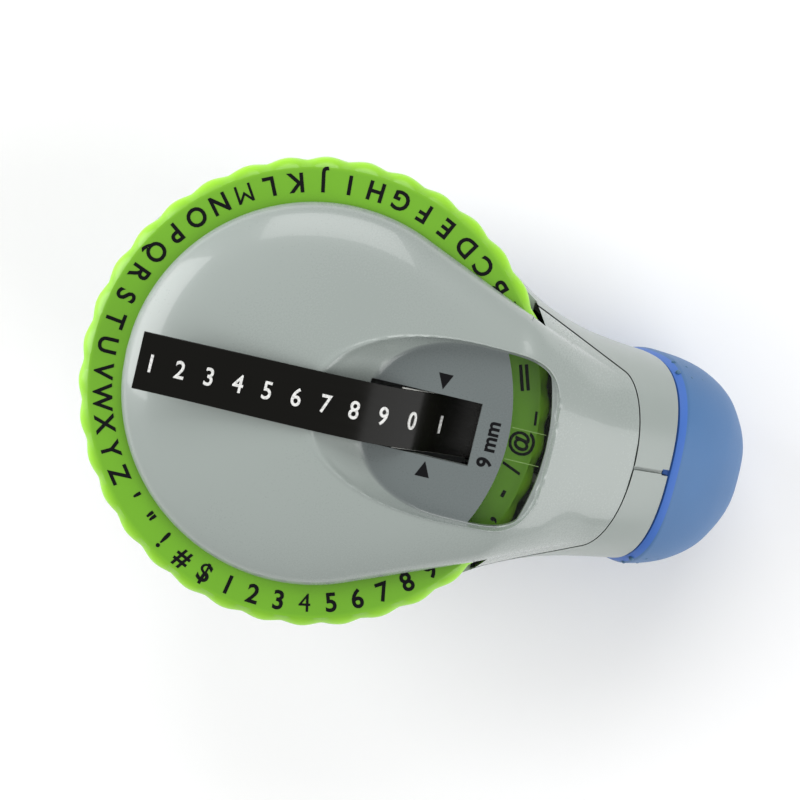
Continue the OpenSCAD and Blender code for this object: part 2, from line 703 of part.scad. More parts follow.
module trigger() {
    w = trigger_w;
    color("cornflowerblue") at_wheel() difference() {
        union() {
            // Pad: a trough with a thick grip face
            difference() {
                profile(w) polygon([
                    [-7.4, 3.4], [-4, 2.3], [4, 1.5], [14, 1.1], [24, 1.4], [32, 2.6], [35.2, 4.4],
                    [36.4, 7], [36.4, 13], [30, 15.6], [8, 16.6], [-7.4, 15]]);
                translate([-5, -w / 2 + 2.2, 4.6]) cube([38.8, w - 4.4, 20]);
            }
            // Arm to the pivot in the chin
            profile(arm_w) polygon([
                [-16.4, 11.6], [-16.4, 8], [-14.5, 5.3], [-11, 4.8], [-10, 3.2], [-6, 3.2], [-4.8, 6], [-4.8, 15],
                [-10, 15], [-14.4, 13.4]]);
            // Cam post under the lever's roller
            translate([cam_x - 2.5, -4, 3]) cube([5, 8, roller_z - roller_r - 0.3 - 3]);
            // Peg that centres the spring
            translate([4, 0, 3]) cylinder(h = 4.5, r = 2.2, $fn = 32);
        }
        across(trigger_pivot, -20, 20, pin_r + fit);
        // Finger grooves
        for (x = [4, 15, 26]) across([x, -7.4], -20, 20, 9.2, 48);
        // Room for the lower corner of the tape bay
        translate([33, -trigger_w, 12.5]) cube([8, 2 * trigger_w, 8]);
    }
}

module trigger_pin() {
    color("silver") at_wheel() across(trigger_pivot, -trigger_pin_l / 2, trigger_pin_l / 2, pin_r);
}

module trigger_spring() {
    color("silver") at_wheel() translate([4, 0, 0]) coil(4.65, 30.45, 3.2, 0.8, 7);
}

lever_w = 2 * side_y - 2 * gap;
arm_y = tape_w / 2 + 1.5;
bar_top = lever_top - 1.3;
module press_lever() {
    arm_t = lever_w / 2 - arm_y;
    color("slategray") at_wheel() difference() {
        union() {
            translate([17.4, -3.6, bar_top - 2.4]) cube([17.6, 7.2, 2.4]);
            translate([28, -lever_w / 2, bar_top - 2.4]) cube([8, lever_w, 2.4]);
            // Nose under the ram
            across([ram_x, lever_top - 1.2], -3.2, 3.2, 1.2);
            for (s = [-1, 1]) {
                profile(arm_t, s * (arm_y + arm_t / 2)) polygon([
                    [28, bar_top - 0.1], [28, bar_top - 2.3], [36, bar_top - 2.3], [41, 20.4], [45.4, 20.8],
                    [45.8, 25], [41, 25.6], [36, bar_top - 0.1]]);
                // Ears of the roller
                profile(1.2, s * 2.9) polygon([[17.6, bar_top - 1], [17.6, 16], [22.4, 16], [23.6, bar_top - 1]]);
            }
        }
        across([cam_x, roller_z], -20, 20, 0.9);
        across(lever_pivot, -20, 20, pin_r + fit);
        // Slot and pin hole of the pawl
        translate([pawl_pivot[0] - 2.4, ratchet_y - 0.9, 15]) cube([5.8, 1.8, 20]);
        across(pawl_pivot, -20, -2, 0.8);
    }
}

module lever_pins() {
    color("silver") at_wheel() for (s = [-1, 1])
        across(lever_pivot, s > 0 ? arm_y + 0.2 : -side_y - side_t, s > 0 ? side_y + side_t : -arm_y - 0.2, pin_r);
}

module lever_roller() {
    color("white") at_wheel() difference() {
        across([cam_x, roller_z], -2.1, 2.1, roller_r);
        across([cam_x, roller_z], -20, 20, 0.9 + fit);
    }
}

module roller_pin() {
    color("silver") at_wheel() across([cam_x, roller_z], -3.6, 3.6, 0.9);
}

ram_r = 1.3;
ram_foot = lever_top + 0.15;
ram_stroke = trigger_angle * PI / 180 * lever_ratio * ram_arm;
ram_top = punch_ring_top - finger_h - 0.1 - ram_stroke;
module press_ram() {
    color("silver") at_wheel() translate([ram_x, 0, 0]) union() {
        translate([0, 0, ram_foot]) cylinder(h = ram_top - ram_foot, r = ram_r, $fn = 32);
        translate([0, 0, ram_foot]) cylinder(h = 1, r = 2.9, $fn = 32);
    }
}

module ram_bush() {
    color("goldenrod") at_wheel() translate([ram_x, 0, bush_z]) difference() {
        cylinder(h = plate_top - bush_z, r = 2.4, $fn = 48);
        translate([0, 0, -1]) cylinder(h = 20, r = ram_r + fit, $fn = 48);
    }
}

module ram_spring() {
    color("silver") at_wheel() translate([ram_x, 0, 0]) coil(ram_foot + 1.02, bush_z - 0.02, 2.1, 0.4, 3);
}

// ---------------------------------------------------------------- feed

module feed_roller() {
    color("#333333") at_wheel() difference() {
        across(feed_c, -roller_w / 2, roller_w / 2, feed_r);
        across(feed_c, -20, 20, 1.5);
    }
}

module feed_shaft() {
    color("silver") at_wheel() across(feed_c, -side_y - side_t, side_y + side_t, 1.5);
}

module feed_ratchet() {
    n = ratchet_teeth;
    color("white") at_wheel() translate([feed_c[0], ratchet_y + ratchet_w / 2, feed_c[1]]) rotate([90, 0, 0])
        difference() {
            linear_extrude(height = ratchet_w) polygon([
                for (k = [0:n - 1]) each [
                    (ratchet_r - 0.9) * [cos(360 * k / n - 5), sin(360 * k / n - 5)],
                    ratchet_r * [cos(360 * k / n), sin(360 * k / n)],
                    (ratchet_r - 0.5) * [cos(360 * (k + 0.5) / n), sin(360 * (k + 0.5) / n)]]]);
            translate([0, 0, -1]) cylinder(h = 10, r = 1.5, $fn = 32);
        }
}

module pinch_roller() {
    color("whitesmoke") at_wheel() difference() {
        across(pinch_c, -roller_w / 2, roller_w / 2, pinch_r);
        across(pinch_c, -20, 20, 1 + fit);
    }
}

module pinch_pin() {
    color("silver") at_wheel() across(pinch_c, -side_y - side_t, side_y + side_t, 1);
}

pawl_pivot = [31, bar_top - 1.2];
pawl_tip = [feed_c[0] - ratchet_r - 0.35, feed_c[1] - 2.6];
module feed_pawl() {
    color("silver") at_wheel() difference() {
        profile(1.2, ratchet_y) polygon([
            pawl_pivot + [-1.5, -1.4], pawl_pivot + [1.5, -1.4], pawl_pivot + [2.2, 1.6], pawl_tip + [0, -1],
            pawl_tip, pawl_tip + [-1.4, 0], pawl_pivot + [-1.5, 1.8]]);
        across(pawl_pivot, -20, 20, 0.8 + fit);
    }
}

module pawl_pin() {
    color("silver") at_wheel() across(pawl_pivot, -lever_w / 2, -3, 0.8);
}

module pawl_spring() {
    color("silver") at_wheel() difference() {
        across(pawl_pivot, ratchet_y - 0.87, ratchet_y - 0.63, 1.5);
        across(pawl_pivot, -20, 20, 0.8);
    }
}

// ---------------------------------------------------------------- cutter

blade_x = journal_r - 1.05;
blade_w = tape_w + 1;
blade_t = 0.5;
cut_travel = 1.2;
holder_z = 28.6;
holder_h = 3;
module cutter_blade() {
    color("silver") at_wheel() profile_at(blade_x - blade_t / 2, blade_t)
        polygon([[-blade_w / 2, holder_z + 0.6], [blade_w / 2, holder_z + 0.6],
                 [blade_w / 2, tape_z - cut_travel - 1.2], [-blade_w / 2, tape_z - cut_travel - tape_t / 2 - 0.05]]);
}

module profile_at(x, w) {
    translate([x, 0, 0]) profile_x(w) children();
}

module blade_holder() {
    color("firebrick") at_wheel() difference() {
        translate([blade_x - 2, -side_y + gap, holder_z]) cube([3.4, 2 * side_y - 2 * gap, holder_h]);
        translate([blade_x - blade_t / 2, -blade_w / 2, holder_z + 0.6]) cube([blade_t, blade_w, 10]);
        // Side cheeks pass in front of the ram's boss
        translate([ram_x, 0, 20]) cylinder(h = 20, r = 3.8, $fn = 48);
    }
}

module cutter_springs() {
    color("silver") at_wheel() for (s = [-1, 1])
        translate([blade_x, s * (blade_w / 2 + 2.2), 0])
            coil(holder_z + holder_h + 0.02, plate_z0 - 0.02, 1.1, 0.3, 2);
}

module cutter_anvil() {
    color("silver") at_wheel() translate([blade_x + blade_t / 2 + 0.05, -blade_w / 2, tape_z + tape_t / 2 + 0.4])
        cube([0.4, blade_w, cover_z - tape_z - 1]);
}

// ---------------------------------------------------------------- end cap

module end_cap() {
    color("cornflowerblue") at_wheel() difference() {
        union() {
            difference() {
                body_skin(-cap_proud);
                body_skin(wall);
                translate([cap_top[0] + 0.25 / cos(cap_slope), -60, cap_top[1]]) rotate([0, cap_slope, 0])
                    translate([-120, 0, -90]) cube([120, 120, 180]);
            }
            // Tongues that guide the cap inside the casing's side walls
            for (s = [-1, 1]) translate([46, s > 0 ? hw - 2 * wall - tongue_t : -hw + 2 * wall, 16])
                cube([16, tongue_t, 8]);
            // Snap tongue, which shows in the notch at the end of the seam
            translate([cap_top[0] - snap_l, -snap_w / 2, cap_top[1] - 2.4]) cube([snap_l + 1.4, snap_w, 1.2]);
        }
        translate([-80, -80, -20]) cube([200, 160, 20]);
    }
}

left_housing();
right_housing();
top_cover();
window_lens();
chassis();
housing_screws();
cover_screws();
tape_guide();
exit_chute();
upper_dial();
lower_punch_ring();
sync_pinion();
pinion_pin();
detent_spring();
trigger();
trigger_pin();
trigger_spring();
press_lever();
lever_pins();
lever_roller();
roller_pin();
press_ram();
ram_bush();
ram_spring();
feed_roller();
feed_shaft();
feed_ratchet();
pinch_roller();
pinch_pin();
feed_pawl();
pawl_pin();
pawl_spring();
blade_holder();
cutter_blade();
cutter_springs();
cutter_anvil();
tape_roll();
tape_core();
roll_post();
tape_strip();
end_cap();
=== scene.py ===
"""Looks of a hand-held embossing label maker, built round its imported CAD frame.

Surfaces are worked out in millimetres on the wheel's own axes: X runs from the dial's axis to the
tip of the handle, Y to the left and Z up from the table. wheel() turns such a place into the frame.
"""

import json
import math
from contextlib import contextmanager
from functools import lru_cache

import bpy
from bpy.props import (BoolProperty, FloatProperty, FloatVectorProperty, IntProperty,
                       PointerProperty, StringProperty)
from mathutils import Matrix, Vector


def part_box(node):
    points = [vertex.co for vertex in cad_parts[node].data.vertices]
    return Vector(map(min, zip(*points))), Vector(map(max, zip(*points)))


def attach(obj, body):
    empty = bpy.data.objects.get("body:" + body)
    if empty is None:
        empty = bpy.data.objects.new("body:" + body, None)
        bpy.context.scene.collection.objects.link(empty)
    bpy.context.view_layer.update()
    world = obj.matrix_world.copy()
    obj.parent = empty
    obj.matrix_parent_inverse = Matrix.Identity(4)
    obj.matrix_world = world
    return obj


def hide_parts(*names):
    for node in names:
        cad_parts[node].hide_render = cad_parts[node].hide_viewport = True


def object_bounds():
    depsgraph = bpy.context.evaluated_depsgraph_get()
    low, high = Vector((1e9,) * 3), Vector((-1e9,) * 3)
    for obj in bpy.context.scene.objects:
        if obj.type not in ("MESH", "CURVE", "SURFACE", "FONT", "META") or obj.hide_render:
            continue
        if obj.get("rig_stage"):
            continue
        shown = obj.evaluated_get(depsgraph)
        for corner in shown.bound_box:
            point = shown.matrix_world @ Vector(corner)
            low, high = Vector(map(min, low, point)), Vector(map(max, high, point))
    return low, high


bl_info = {
    "name": "Embossing label maker",
    "version": (1, 0, 0),
    "blender": (4, 5, 0),
    "location": "View3D > Sidebar > Label maker",
    "description": "Builds the shells, dial, tape, finishes and stage of an embossing label maker",
    "category": "Object",
}

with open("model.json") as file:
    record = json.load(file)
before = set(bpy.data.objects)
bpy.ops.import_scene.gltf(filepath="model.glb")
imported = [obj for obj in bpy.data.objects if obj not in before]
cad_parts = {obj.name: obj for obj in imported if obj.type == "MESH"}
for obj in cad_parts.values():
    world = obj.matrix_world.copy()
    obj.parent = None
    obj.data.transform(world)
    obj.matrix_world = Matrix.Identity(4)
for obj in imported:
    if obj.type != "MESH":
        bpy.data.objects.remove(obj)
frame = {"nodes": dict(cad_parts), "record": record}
frame_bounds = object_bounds()

MM = 0.001
MERGE = 0.002 * MM


def span(node):
    """Lowest and highest corner of a CAD node, in millimetres."""
    low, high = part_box(node)
    return low / MM, high / MM


DIAL_LOW, DIAL_HIGH = span("upper_dial")
WHEEL_X = (DIAL_LOW.x + DIAL_HIGH.x) / 2
DIAL_R = (DIAL_HIGH.x - DIAL_LOW.x) / 2
DIAL_Z = DIAL_LOW.z
DIAL_TOP = DIAL_HIGH.z
COVER_Z = DIAL_TOP + 0.5
DOME_TOP = COVER_Z + 7.3
DOME_R = WHEEL_X - span("top_cover")[0].x
PLATE_Z = COVER_Z + 3
CAP_PROUD = 0.7
REACH = span("end_cap")[1].x - WHEEL_X - CAP_PROUD
WALL = 1.9
TAPE_W = span("tape_strip")[1].y * 2
TAPE_T = 0.3
THIN = 0.05
SAUCER_R = 34.5
ROOM_R = DIAL_R + 0.6
JOINT = (56.2, 38.2)
JOINT_SLOPE = math.radians(25)
FINGERS_X = (-8, 37.2)
FINGERS_TOP = 13
GROOVE_DEPTH = 0.8
STOPS = 50
LETTER_R = 32
SHELF_Z = DIAL_Z - 0.55
SIDES = ((-1, "right"), (1, "left"))


def wheel(x, y, z):
    """A place on the wheel's axes, in millimetres, as a point of the frame."""
    return Vector((x + WHEEL_X, y, z)) * MM


# ---------------------------------------------------------------- settings


def size(name, text, default, low, high):
    """A length in millimetres that a user may change."""
    return FloatProperty(name=name, description=text, default=default, min=low, max=high)


def tint(name, text, default):
    """A colour that a user may change."""
    return FloatVectorProperty(name=name, description=text, default=default, size=3,
                               subtype="COLOR", min=0.0, max=1.0)


class ShellSettings(bpy.types.PropertyGroup):
    """Sizes and colours of the casings and the cover."""

    colour: tint("Shell colour", "Pale moulded plastic of the casings and the cover",
                 (0.325, 0.366, 0.345))
    # The darker colour below is painted shade and painted dark reflection on the floor of the recess, which
    # is the same plastic as the cover.
    shaded_plate: tint("Plate colour", "Darker floor of the recess round the tape", (0.14, 0.163, 0.163))
    seam: size("Seam", "Half the width of the groove where the casing halves meet, in mm", 0.3, 0.05, 0.5)
    crest: size("Crest", "Softness of the recess's upper edge, in mm", 0.5, 0.2, 2.0)
    columns: IntProperty(name="Columns", description="Stations along the cover's net", default=250,
                         min=60, max=300)
    rows: IntProperty(name="Rows", description="Points across the cover's net", default=190, min=40, max=240)


class DialSettings(bpy.types.PropertyGroup):
    """Sizes, colours and characters of the dial."""

    colour: tint("Dial colour", "Green of the dial's face", (0.155, 0.41, 0.015))
    rim: tint("Rim colour", "Lighter green of the bevelled rim", (0.36, 0.78, 0.03))
    ink: tint("Ink colour", "Printed characters and marks", (0.004, 0.004, 0.005))
    scallops: IntProperty(name="Scallops", description="Finger scallops round the rim", default=36,
                          min=24, max=48)
    depth: size("Scallop depth", "Depth of a scallop, in mm", 0.5, 0.2, 1.0)
    letter: size("Letter size", "Body size of the printed characters, in mm", 4.1, 2.0, 6.0)
    marks: StringProperty(name="Characters", description="Characters in the order of the stops",
                          default="@_=  ABCDEFGHIJKLMNOPQRSTUVWXYZ'\"!#$1234567890+,-/")


class TapeSettings(bpy.types.PropertyGroup):
    """The embossed tape."""

    colour: tint("Tape colour", "Glossy vinyl of the tape", (0.005, 0.0048, 0.0038))
    emboss: tint("Embossing colour", "Whitened vinyl of the pressed characters", (0.82, 0.82, 0.8))
    twist: FloatProperty(name="Twist", description="Turn of the tape at its free end", subtype="ANGLE",
                         default=math.radians(11), min=0, max=math.radians(20))
    label: StringProperty(name="Label", description="Generic digits pressed into the tape",
                          default="12345678901")
    pitch: size("Pitch", "Advance of the tape for each character, in mm", 4.4, 3.8, 4.8)


class CapSettings(bpy.types.PropertyGroup):
    """The end cap and the trigger."""

    colour: tint("Cap colour", "Soft blue plastic of the cap and the trigger", (0.06, 0.165, 0.365))
    lip_colour: tint("Lip colour", "Deeper blue of the cap's chamfered lip", (0.045, 0.15, 0.52))
    lip: size("Lip", "Length of the cap's chamfered lip, in mm", 1.5, 0.5, 3.0)
    dots: BoolProperty(name="Grip dots", description="Small dots on the cap's flank", default=True)


class StageSettings(bpy.types.PropertyGroup):
    """Camera, floor and light."""

    distance: FloatProperty(name="Camera distance", description="From the lens to the dial", default=0.45,
                            min=0.2, max=2, unit="LENGTH")
    lean: FloatProperty(name="Lean", description="Lean of the camera from the vertical", subtype="ANGLE",
                        default=math.radians(6), min=0, max=math.radians(60))
    roll: FloatProperty(name="Roll", description="Turn of the handle in the picture", subtype="ANGLE",
                        default=math.radians(13.5), min=-math.pi, max=math.pi)
    lens: FloatProperty(name="Lens", description="Focal length in mm", default=132.9, min=20, max=300)
    floor: tint("Floor colour", "Plain pale floor", (1.0, 1.0, 1.0))


def settings(group):
    """The scene's settings of one group."""
    return getattr(bpy.context.scene, "label_maker_" + group)


# ---------------------------------------------------------------- curves of the body

HALF = 16.6
# Stations of the body: X, half width, top, bottom, height of the widest line
BODY = [
    (-SAUCER_R - 0.9, 1.5, 39.4, 36.4, 38), (-34.4, 9, 40, 34, 38), (-31, 17.8, 41, 25.5, 38),
    (-25, 25, 43, 12, 38), (-19.5, 29, 44, 2.6, 38), (-14, 32, 44, -0.6, 38), (-6, 34.6, 45, -0.6, 38),
    (3, 35, 47, -0.6, 38), (12, 32.6, 50, -0.6, 38), (21, 27.6, 52.4, -0.6, 37),
    (31, HALF + 4.6, 53.2, -0.6, 34.6), (38, HALF + 1.9, 50, -0.6, 31), (44, HALF + 0.7, 46.2, -0.6, 27.6),
    (50, HALF, 42.4, -0.6, 24.6), (56, HALF - 0.7, 38.2, -0.6, 22), (60.5, HALF - 2.2, 34.2, -0.2, 19.8),
    (64.5, HALF - 5, 29.4, 2, 17.8), (REACH - 1.9, HALF - 8.7, 24.6, 5.4, 16.4),
    (REACH - 0.5, HALF - 12, 20.6, 9.6, 15.5), (REACH, 1.6, 17, 13.4, 15.2)]
UPPER_POWER = 2.5


def slope(table, i, k):
    """Slope of column k at row i."""
    low, high = max(0, i - 1), min(len(table) - 1, i + 1)
    return (table[high][k] - table[low][k]) / (table[high][0] - table[low][0])


def through(table, x, k):
    """Value of column k at x on a smooth curve through the rows of a table."""
    i = 0
    while i < len(table) - 2 and x > table[i + 1][0]:
        i += 1
    width = table[i + 1][0] - table[i][0]
    s = min(1, max(0, (x - table[i][0]) / width))
    return ((2 * s ** 3 - 3 * s ** 2 + 1) * table[i][k]
            + (s ** 3 - 2 * s ** 2 + s) * width * slope(table, i, k)
            + (3 * s ** 2 - 2 * s ** 3) * table[i + 1][k]
            + (s ** 3 - s ** 2) * width * slope(table, i + 1, k))


@lru_cache(maxsize=None)
def station(x):
    """Half width, top, bottom and widest height of the body at x."""
    return tuple(through(BODY, x, k) for k in (1, 2, 3, 4))


def power(value, exponent):
    """Power that keeps the sign."""
    return math.copysign(abs(value) ** exponent, value)


def lower_power(x):
    """Fullness of the section below its widest line: lean under the head, round in the handle."""
    return 1.75 + 0.35 * min(1, max(0, (x - 10) / 34))


def body_point(x, angle, inset=0.0):
    """Point of the body's section at x, seen at an angle from its left side."""
    half, top, bottom, middle = station(x)
    rising = math.sin(angle) >= 0
    reach = max(0.3, top - inset - middle) if rising else max(0.3, middle - bottom - inset)
    p = 2 / (UPPER_POWER if rising else lower_power(x))
    return (x, max(0.3, half - inset) * power(math.cos(angle), p), middle + reach * power(math.sin(angle), p))


def soft_max(a, b, k):
    """Greater of two heights, with the corner between them rounded over k."""
    return max(a, b) + max(k - abs(a - b), 0) ** 2 / (4 * k)


def soft_min(a, b, k):
    """Smaller of two heights, with the corner between them rounded over k."""
    return -soft_max(-a, -b, k)


def ease(value):
    """Smooth step from 0 to 1."""
    s = min(1, max(0, value))
    return s * s * (3 - 2 * s)


# ---------------------------------------------------------------- curves of the cover

TANGENT_X = 11.9
TANGENT_Y = math.sqrt(DOME_R ** 2 - TANGENT_X ** 2)
DOME_JOIN = (34, 17.4)
CREASE_END = (46, 12.9)
NECK_X, NECK_W = 29.6, 20.9
NOSE_X, NOSE_LEN, NOSE_W = 44.8, 5.4, 14
NOSE_START = (NOSE_X + NOSE_LEN * math.cos(math.radians(80)), NOSE_W * math.sin(math.radians(80)))
EYE_X = 24
EYE_FLOOR = (7.9, ROOM_R - 0.25, 13.3)
EYE_CREST = (-1, ROOM_R + 0.85, 14.2)
EYE_RISE = DOME_TOP + 0.4 - PLATE_Z
WINDOW_R = DIAL_R + 0.1
# Share by which the net's columns crowd towards the ends of the cover
COLUMN_CROWDING = 0.35
# Shares of the net's half width at which its rows reach the foot and the crest of the recess
FOOT_SHARE, CREST_SHARE = 0.28, 0.46
# Height and half width of the bead on the crest
BEAD_RISE, BEAD_HALF = 0.26, 0.45


def mix(a, b, t):
    """Value a share t of the way from a to b."""
    return a + (b - a) * t


def dome_half(x):
    """Half width of the dome in plan: round in front, straight tangents towards the neck."""
    if x < TANGENT_X:
        return math.sqrt(max(0, DOME_R ** 2 - x * x))
    if x < DOME_JOIN[0]:
        return mix(TANGENT_Y, DOME_JOIN[1], (x - TANGENT_X) / (DOME_JOIN[0] - TANGENT_X))
    return mix(DOME_JOIN[1], CREASE_END[1], (x - DOME_JOIN[0]) / (CREASE_END[0] - DOME_JOIN[0]))


def neck_half(x):
    """Half width of the cover's neck in plan: straight sides into a rounded nose."""
    if x < NOSE_START[0]:
        return mix(NECK_W, NOSE_START[1], (x - NECK_X) / (NOSE_START[0] - NECK_X))
    return NOSE_W * math.sqrt(max(0, 1 - ((x - NOSE_X) / NOSE_LEN) ** 2))


def cover_half(x):
    """Half width of the whole cover in plan."""
    if x < NECK_X + 0.5:
        return mix(dome_half(x), neck_half(x), ease((x - NECK_X + 0.5) / 0.9))
    return neck_half(x)


def neck_height(x, y):
    """Top of the body at x and y."""
    half, top, _, middle = station(x)
    return middle + (top - middle) * max(0, 1 - (abs(y) / half) ** UPPER_POWER) ** (1 / UPPER_POWER)


def ridge(x):
    """Height of the dome along its middle."""
    if x < 4:
        return COVER_Z + (DOME_TOP - COVER_Z) * math.sqrt(max(0, 1 - ((4 - x) / (DOME_R + 4)) ** 2))
    return DOME_TOP - 1.5 * ((x - 4) / 30) ** 2


def dome_height(x, y):
    """Top of the dome, which carries on over the neck as a low swelling inside its creases."""
    half = dome_half(x)
    across = min(1, abs(y) / half) if half else 1
    rise = math.sqrt(max(0, 1 - across ** 2.1)) ** 0.92
    start = ease((x - 28) / 5)
    base = mix(COVER_Z, neck_height(x, half) - 0.05, start) if x > 28 else COVER_Z
    top = mix(ridge(x), station(x)[1] + 0.1, start) if x > 28 else ridge(x)
    return base + (top - base) * rise


def form_height(x, y):
    """Top of the cover without its recess."""
    if x < NECK_X - 0.5:
        return dome_height(x, y)
    height = neck_height(x, y)
    if x < CREASE_END[0] and abs(y) < dome_half(x):
        fade = 1 - ease((x - 36) / (CREASE_END[0] - 36))
        height = mix(height, soft_max(dome_height(x, y), height, 0.5), fade)
    return height


def outside_eye(x, y, t):
    """Above 0 outside the eye-shaped outline that lies between the floor (t = 0) and the crest (t = 1)."""
    x0, x1, half = (mix(a, b, t) for a, b in zip(EYE_FLOOR, EYE_CREST))
    if x < EYE_X:
        return (abs(y) / half) ** 2.3 + ((EYE_X - x) / (EYE_X - x0)) ** 2.3 - 1
    return (abs(y) / half) ** 4 + ((x - EYE_X) / (x1 - EYE_X)) ** 4 - 1


def eye_half(x, t, least):
    """Half width at x of the outline that outside_eye() tells apart, and never less than a least."""
    x0, x1, half = (mix(a, b, t) for a, b in zip(EYE_FLOOR, EYE_CREST))
    reach, exponent = ((EYE_X - x) / (EYE_X - x0), 2.3) if x < EYE_X else ((x - EYE_X) / (x1 - EYE_X), 4)
    return max(least, half * max(0, 1 - reach ** exponent) ** (1 / exponent))


def row_place(x, v):
    """Y of row v of the cover's net: rows gather on the slope of the recess and at the cover's edge."""
    share = abs(1 - 2 * v)
    edge = cover_half(x)
    foot = min(eye_half(x, 0, 7.5), edge * 0.72)
    crest = max(foot, min(max(eye_half(x, 1, 8.4), foot + 0.6), edge * 0.86))
    if share < FOOT_SHARE:
        y = foot * share / FOOT_SHARE
    elif share < CREST_SHARE:
        y = mix(foot, crest, (share - FOOT_SHARE) / (CREST_SHARE - FOOT_SHARE))
    else:
        y = mix(crest, edge, math.sin(math.pi / 2 * (share - CREST_SHARE) / (1 - CREST_SHARE)))
    return math.copysign(y, 1 - 2 * v)


def recess_height(x, y):
    """Height of the recess: a flat plate with a slope round it, which carries on above the crest."""
    if outside_eye(x, y, 2.2) > 0:
        return DOME_TOP + 20
    low, high = -0.8, 2.2
    for _ in range(12):
        t = (low + high) / 2
        low, high = (t, high) if outside_eye(x, y, t) > 0 else (low, t)
    return soft_max(PLATE_Z, PLATE_Z + EYE_RISE * t, 0.5)


def window_outline(inset):
    """Outline of the window: the end of the eye behind an arc round the dial's axis."""
    _, rear, half = EYE_FLOOR
    rear, half, arc = rear - inset, half - inset, 30 + inset
    outline = []
    for i in range(49):
        y = half * power(math.cos(math.pi * i / 48), 0.5)
        x = EYE_X + (rear - EYE_X) * max(0, 1 - (abs(y) / half) ** 4) ** 0.25
        reach = math.hypot(x, y)
        if reach > arc + 0.02:
            pull = min(1, (WINDOW_R - inset) / reach)
            outline.append((x * pull, y * pull))
    limit = math.asin(min(1, outline[0][1] / arc))
    angles = [mix(-limit, limit, k / 32) for k in range(33)]
    return outline + [(arc * math.cos(angle), arc * math.sin(angle)) for angle in angles]


def cover_height(x, y):
    """Top of the finished cover, with a low bead along the crest of its recess."""
    form, recess = form_height(x, y), recess_height(x, y)
    bead = BEAD_RISE * math.exp(-((form - recess) / BEAD_HALF) ** 2) if x < ROOM_R else 0
    return soft_min(form, recess, settings("shell").crest) + bead


# ---------------------------------------------------------------- mesh tools


def alone(piece):
    """Make a piece the only selected and the active one."""
    bpy.ops.object.select_all(action="DESELECT")
    piece.select_set(True)
    bpy.context.view_layer.objects.active = piece


@contextmanager
def edited(piece):
    """Edit mode on one piece, with all of it selected."""
    alone(piece)
    bpy.ops.object.mode_set(mode="EDIT")
    bpy.ops.mesh.select_all(action="SELECT")
    yield
    bpy.ops.object.mode_set(mode="OBJECT")


def named(name, piece=None):
    """Name a piece, or the primitive that was just added."""
    piece = piece or bpy.context.object
    piece.name = piece.data.name = name
    return piece


def net(name, columns, rows, point):
    """A grid wrapped onto a surface: point(u, v) gives a place on the wheel's axes."""
    bpy.ops.mesh.primitive_grid_add(x_subdivisions=columns, y_subdivisions=rows, size=2)
    piece = named(name)
    for corner in piece.data.vertices:
        corner.co = wheel(*point((corner.co.x + 1) / 2, (corner.co.y + 1) / 2))
    return piece


def closed(piece):
    """Merge doubles, fill what is open and turn every face outwards."""
    with edited(piece):
        bpy.ops.mesh.remove_doubles(threshold=MERGE)
        bpy.ops.mesh.fill_holes(sides=0)
        bpy.ops.mesh.select_all(action="SELECT")
        bpy.ops.mesh.normals_make_consistent(inside=False)
    return piece


def modified(piece, kind, **values):
    """Add a modifier and apply it."""
    alone(piece)
    step = piece.modifiers.new(kind.title(), kind)
    for name, value in values.items():
        setattr(step, name, value)
    bpy.ops.object.modifier_apply(modifier=step.name)
    return piece


def carve(piece, *tools, operation="DIFFERENCE"):
    """Cut tools out of a piece, or keep what lies in them, and remove the tools."""
    for tool in tools:
        modified(piece, "BOOLEAN", object=tool, operation=operation, solver="MANIFOLD")
        bpy.data.objects.remove(tool)
    return piece


def box(x0, x1, y0, y1, z0, z1):
    """A block between two corners on the wheel's axes."""
    bpy.ops.mesh.primitive_cube_add(size=1)
    tool = named("block")
    for corner in tool.data.vertices:
        corner.co = wheel(mix(x0, x1, corner.co.x + 0.5), mix(y0, y1, corner.co.y + 0.5),
                          mix(z0, z1, corner.co.z + 0.5))
    return tool


def rod(radius, z0, z1):
    """An upright cylinder round the dial's axis."""
    bpy.ops.mesh.primitive_cylinder_add(vertices=192, radius=radius * MM, depth=(z1 - z0) * MM,
                                        location=wheel(0, 0, (z0 + z1) / 2))
    tool = named("rod")
    bpy.ops.object.transform_apply(location=True, rotation=True, scale=True)
    return tool


def prism(outline, z0, z1):
    """An upright prism over an outline in X and Y."""
    bpy.ops.mesh.primitive_circle_add(vertices=len(outline), radius=1, fill_type="NGON")
    tool = named("prism")
    for corner, (x, y) in zip(tool.data.vertices, outline):
        corner.co = wheel(x, y, z0)
    with edited(tool):
        bpy.ops.mesh.extrude_region_move(TRANSFORM_OT_translate={"value": (0, 0, (z1 - z0) * MM)})
        bpy.ops.mesh.select_all(action="SELECT")
        bpy.ops.mesh.normals_make_consistent(inside=False)
    return tool


def side_prism(outline, y0, y1):
    """A prism across the body over an outline in X and Z."""
    tool = prism(outline, 0, 1)
    for corner in tool.data.vertices:
        x, z, level = corner.co
        corner.co = (x, mix(y0, y1, level / MM) * MM, z)
    return closed(tool)


def joined(pieces, name):
    """Join pieces into one of a new name."""
    alone(pieces[0])
    for piece in pieces:
        piece.select_set(True)
    bpy.ops.object.join()
    return named(name)


def smooth(piece, degrees=35):
    """Shade smooth, with sharp edges past an angle."""
    alone(piece)
    bpy.ops.object.shade_smooth_by_angle(angle=math.radians(degrees))
    return piece


# ---------------------------------------------------------------- finishes


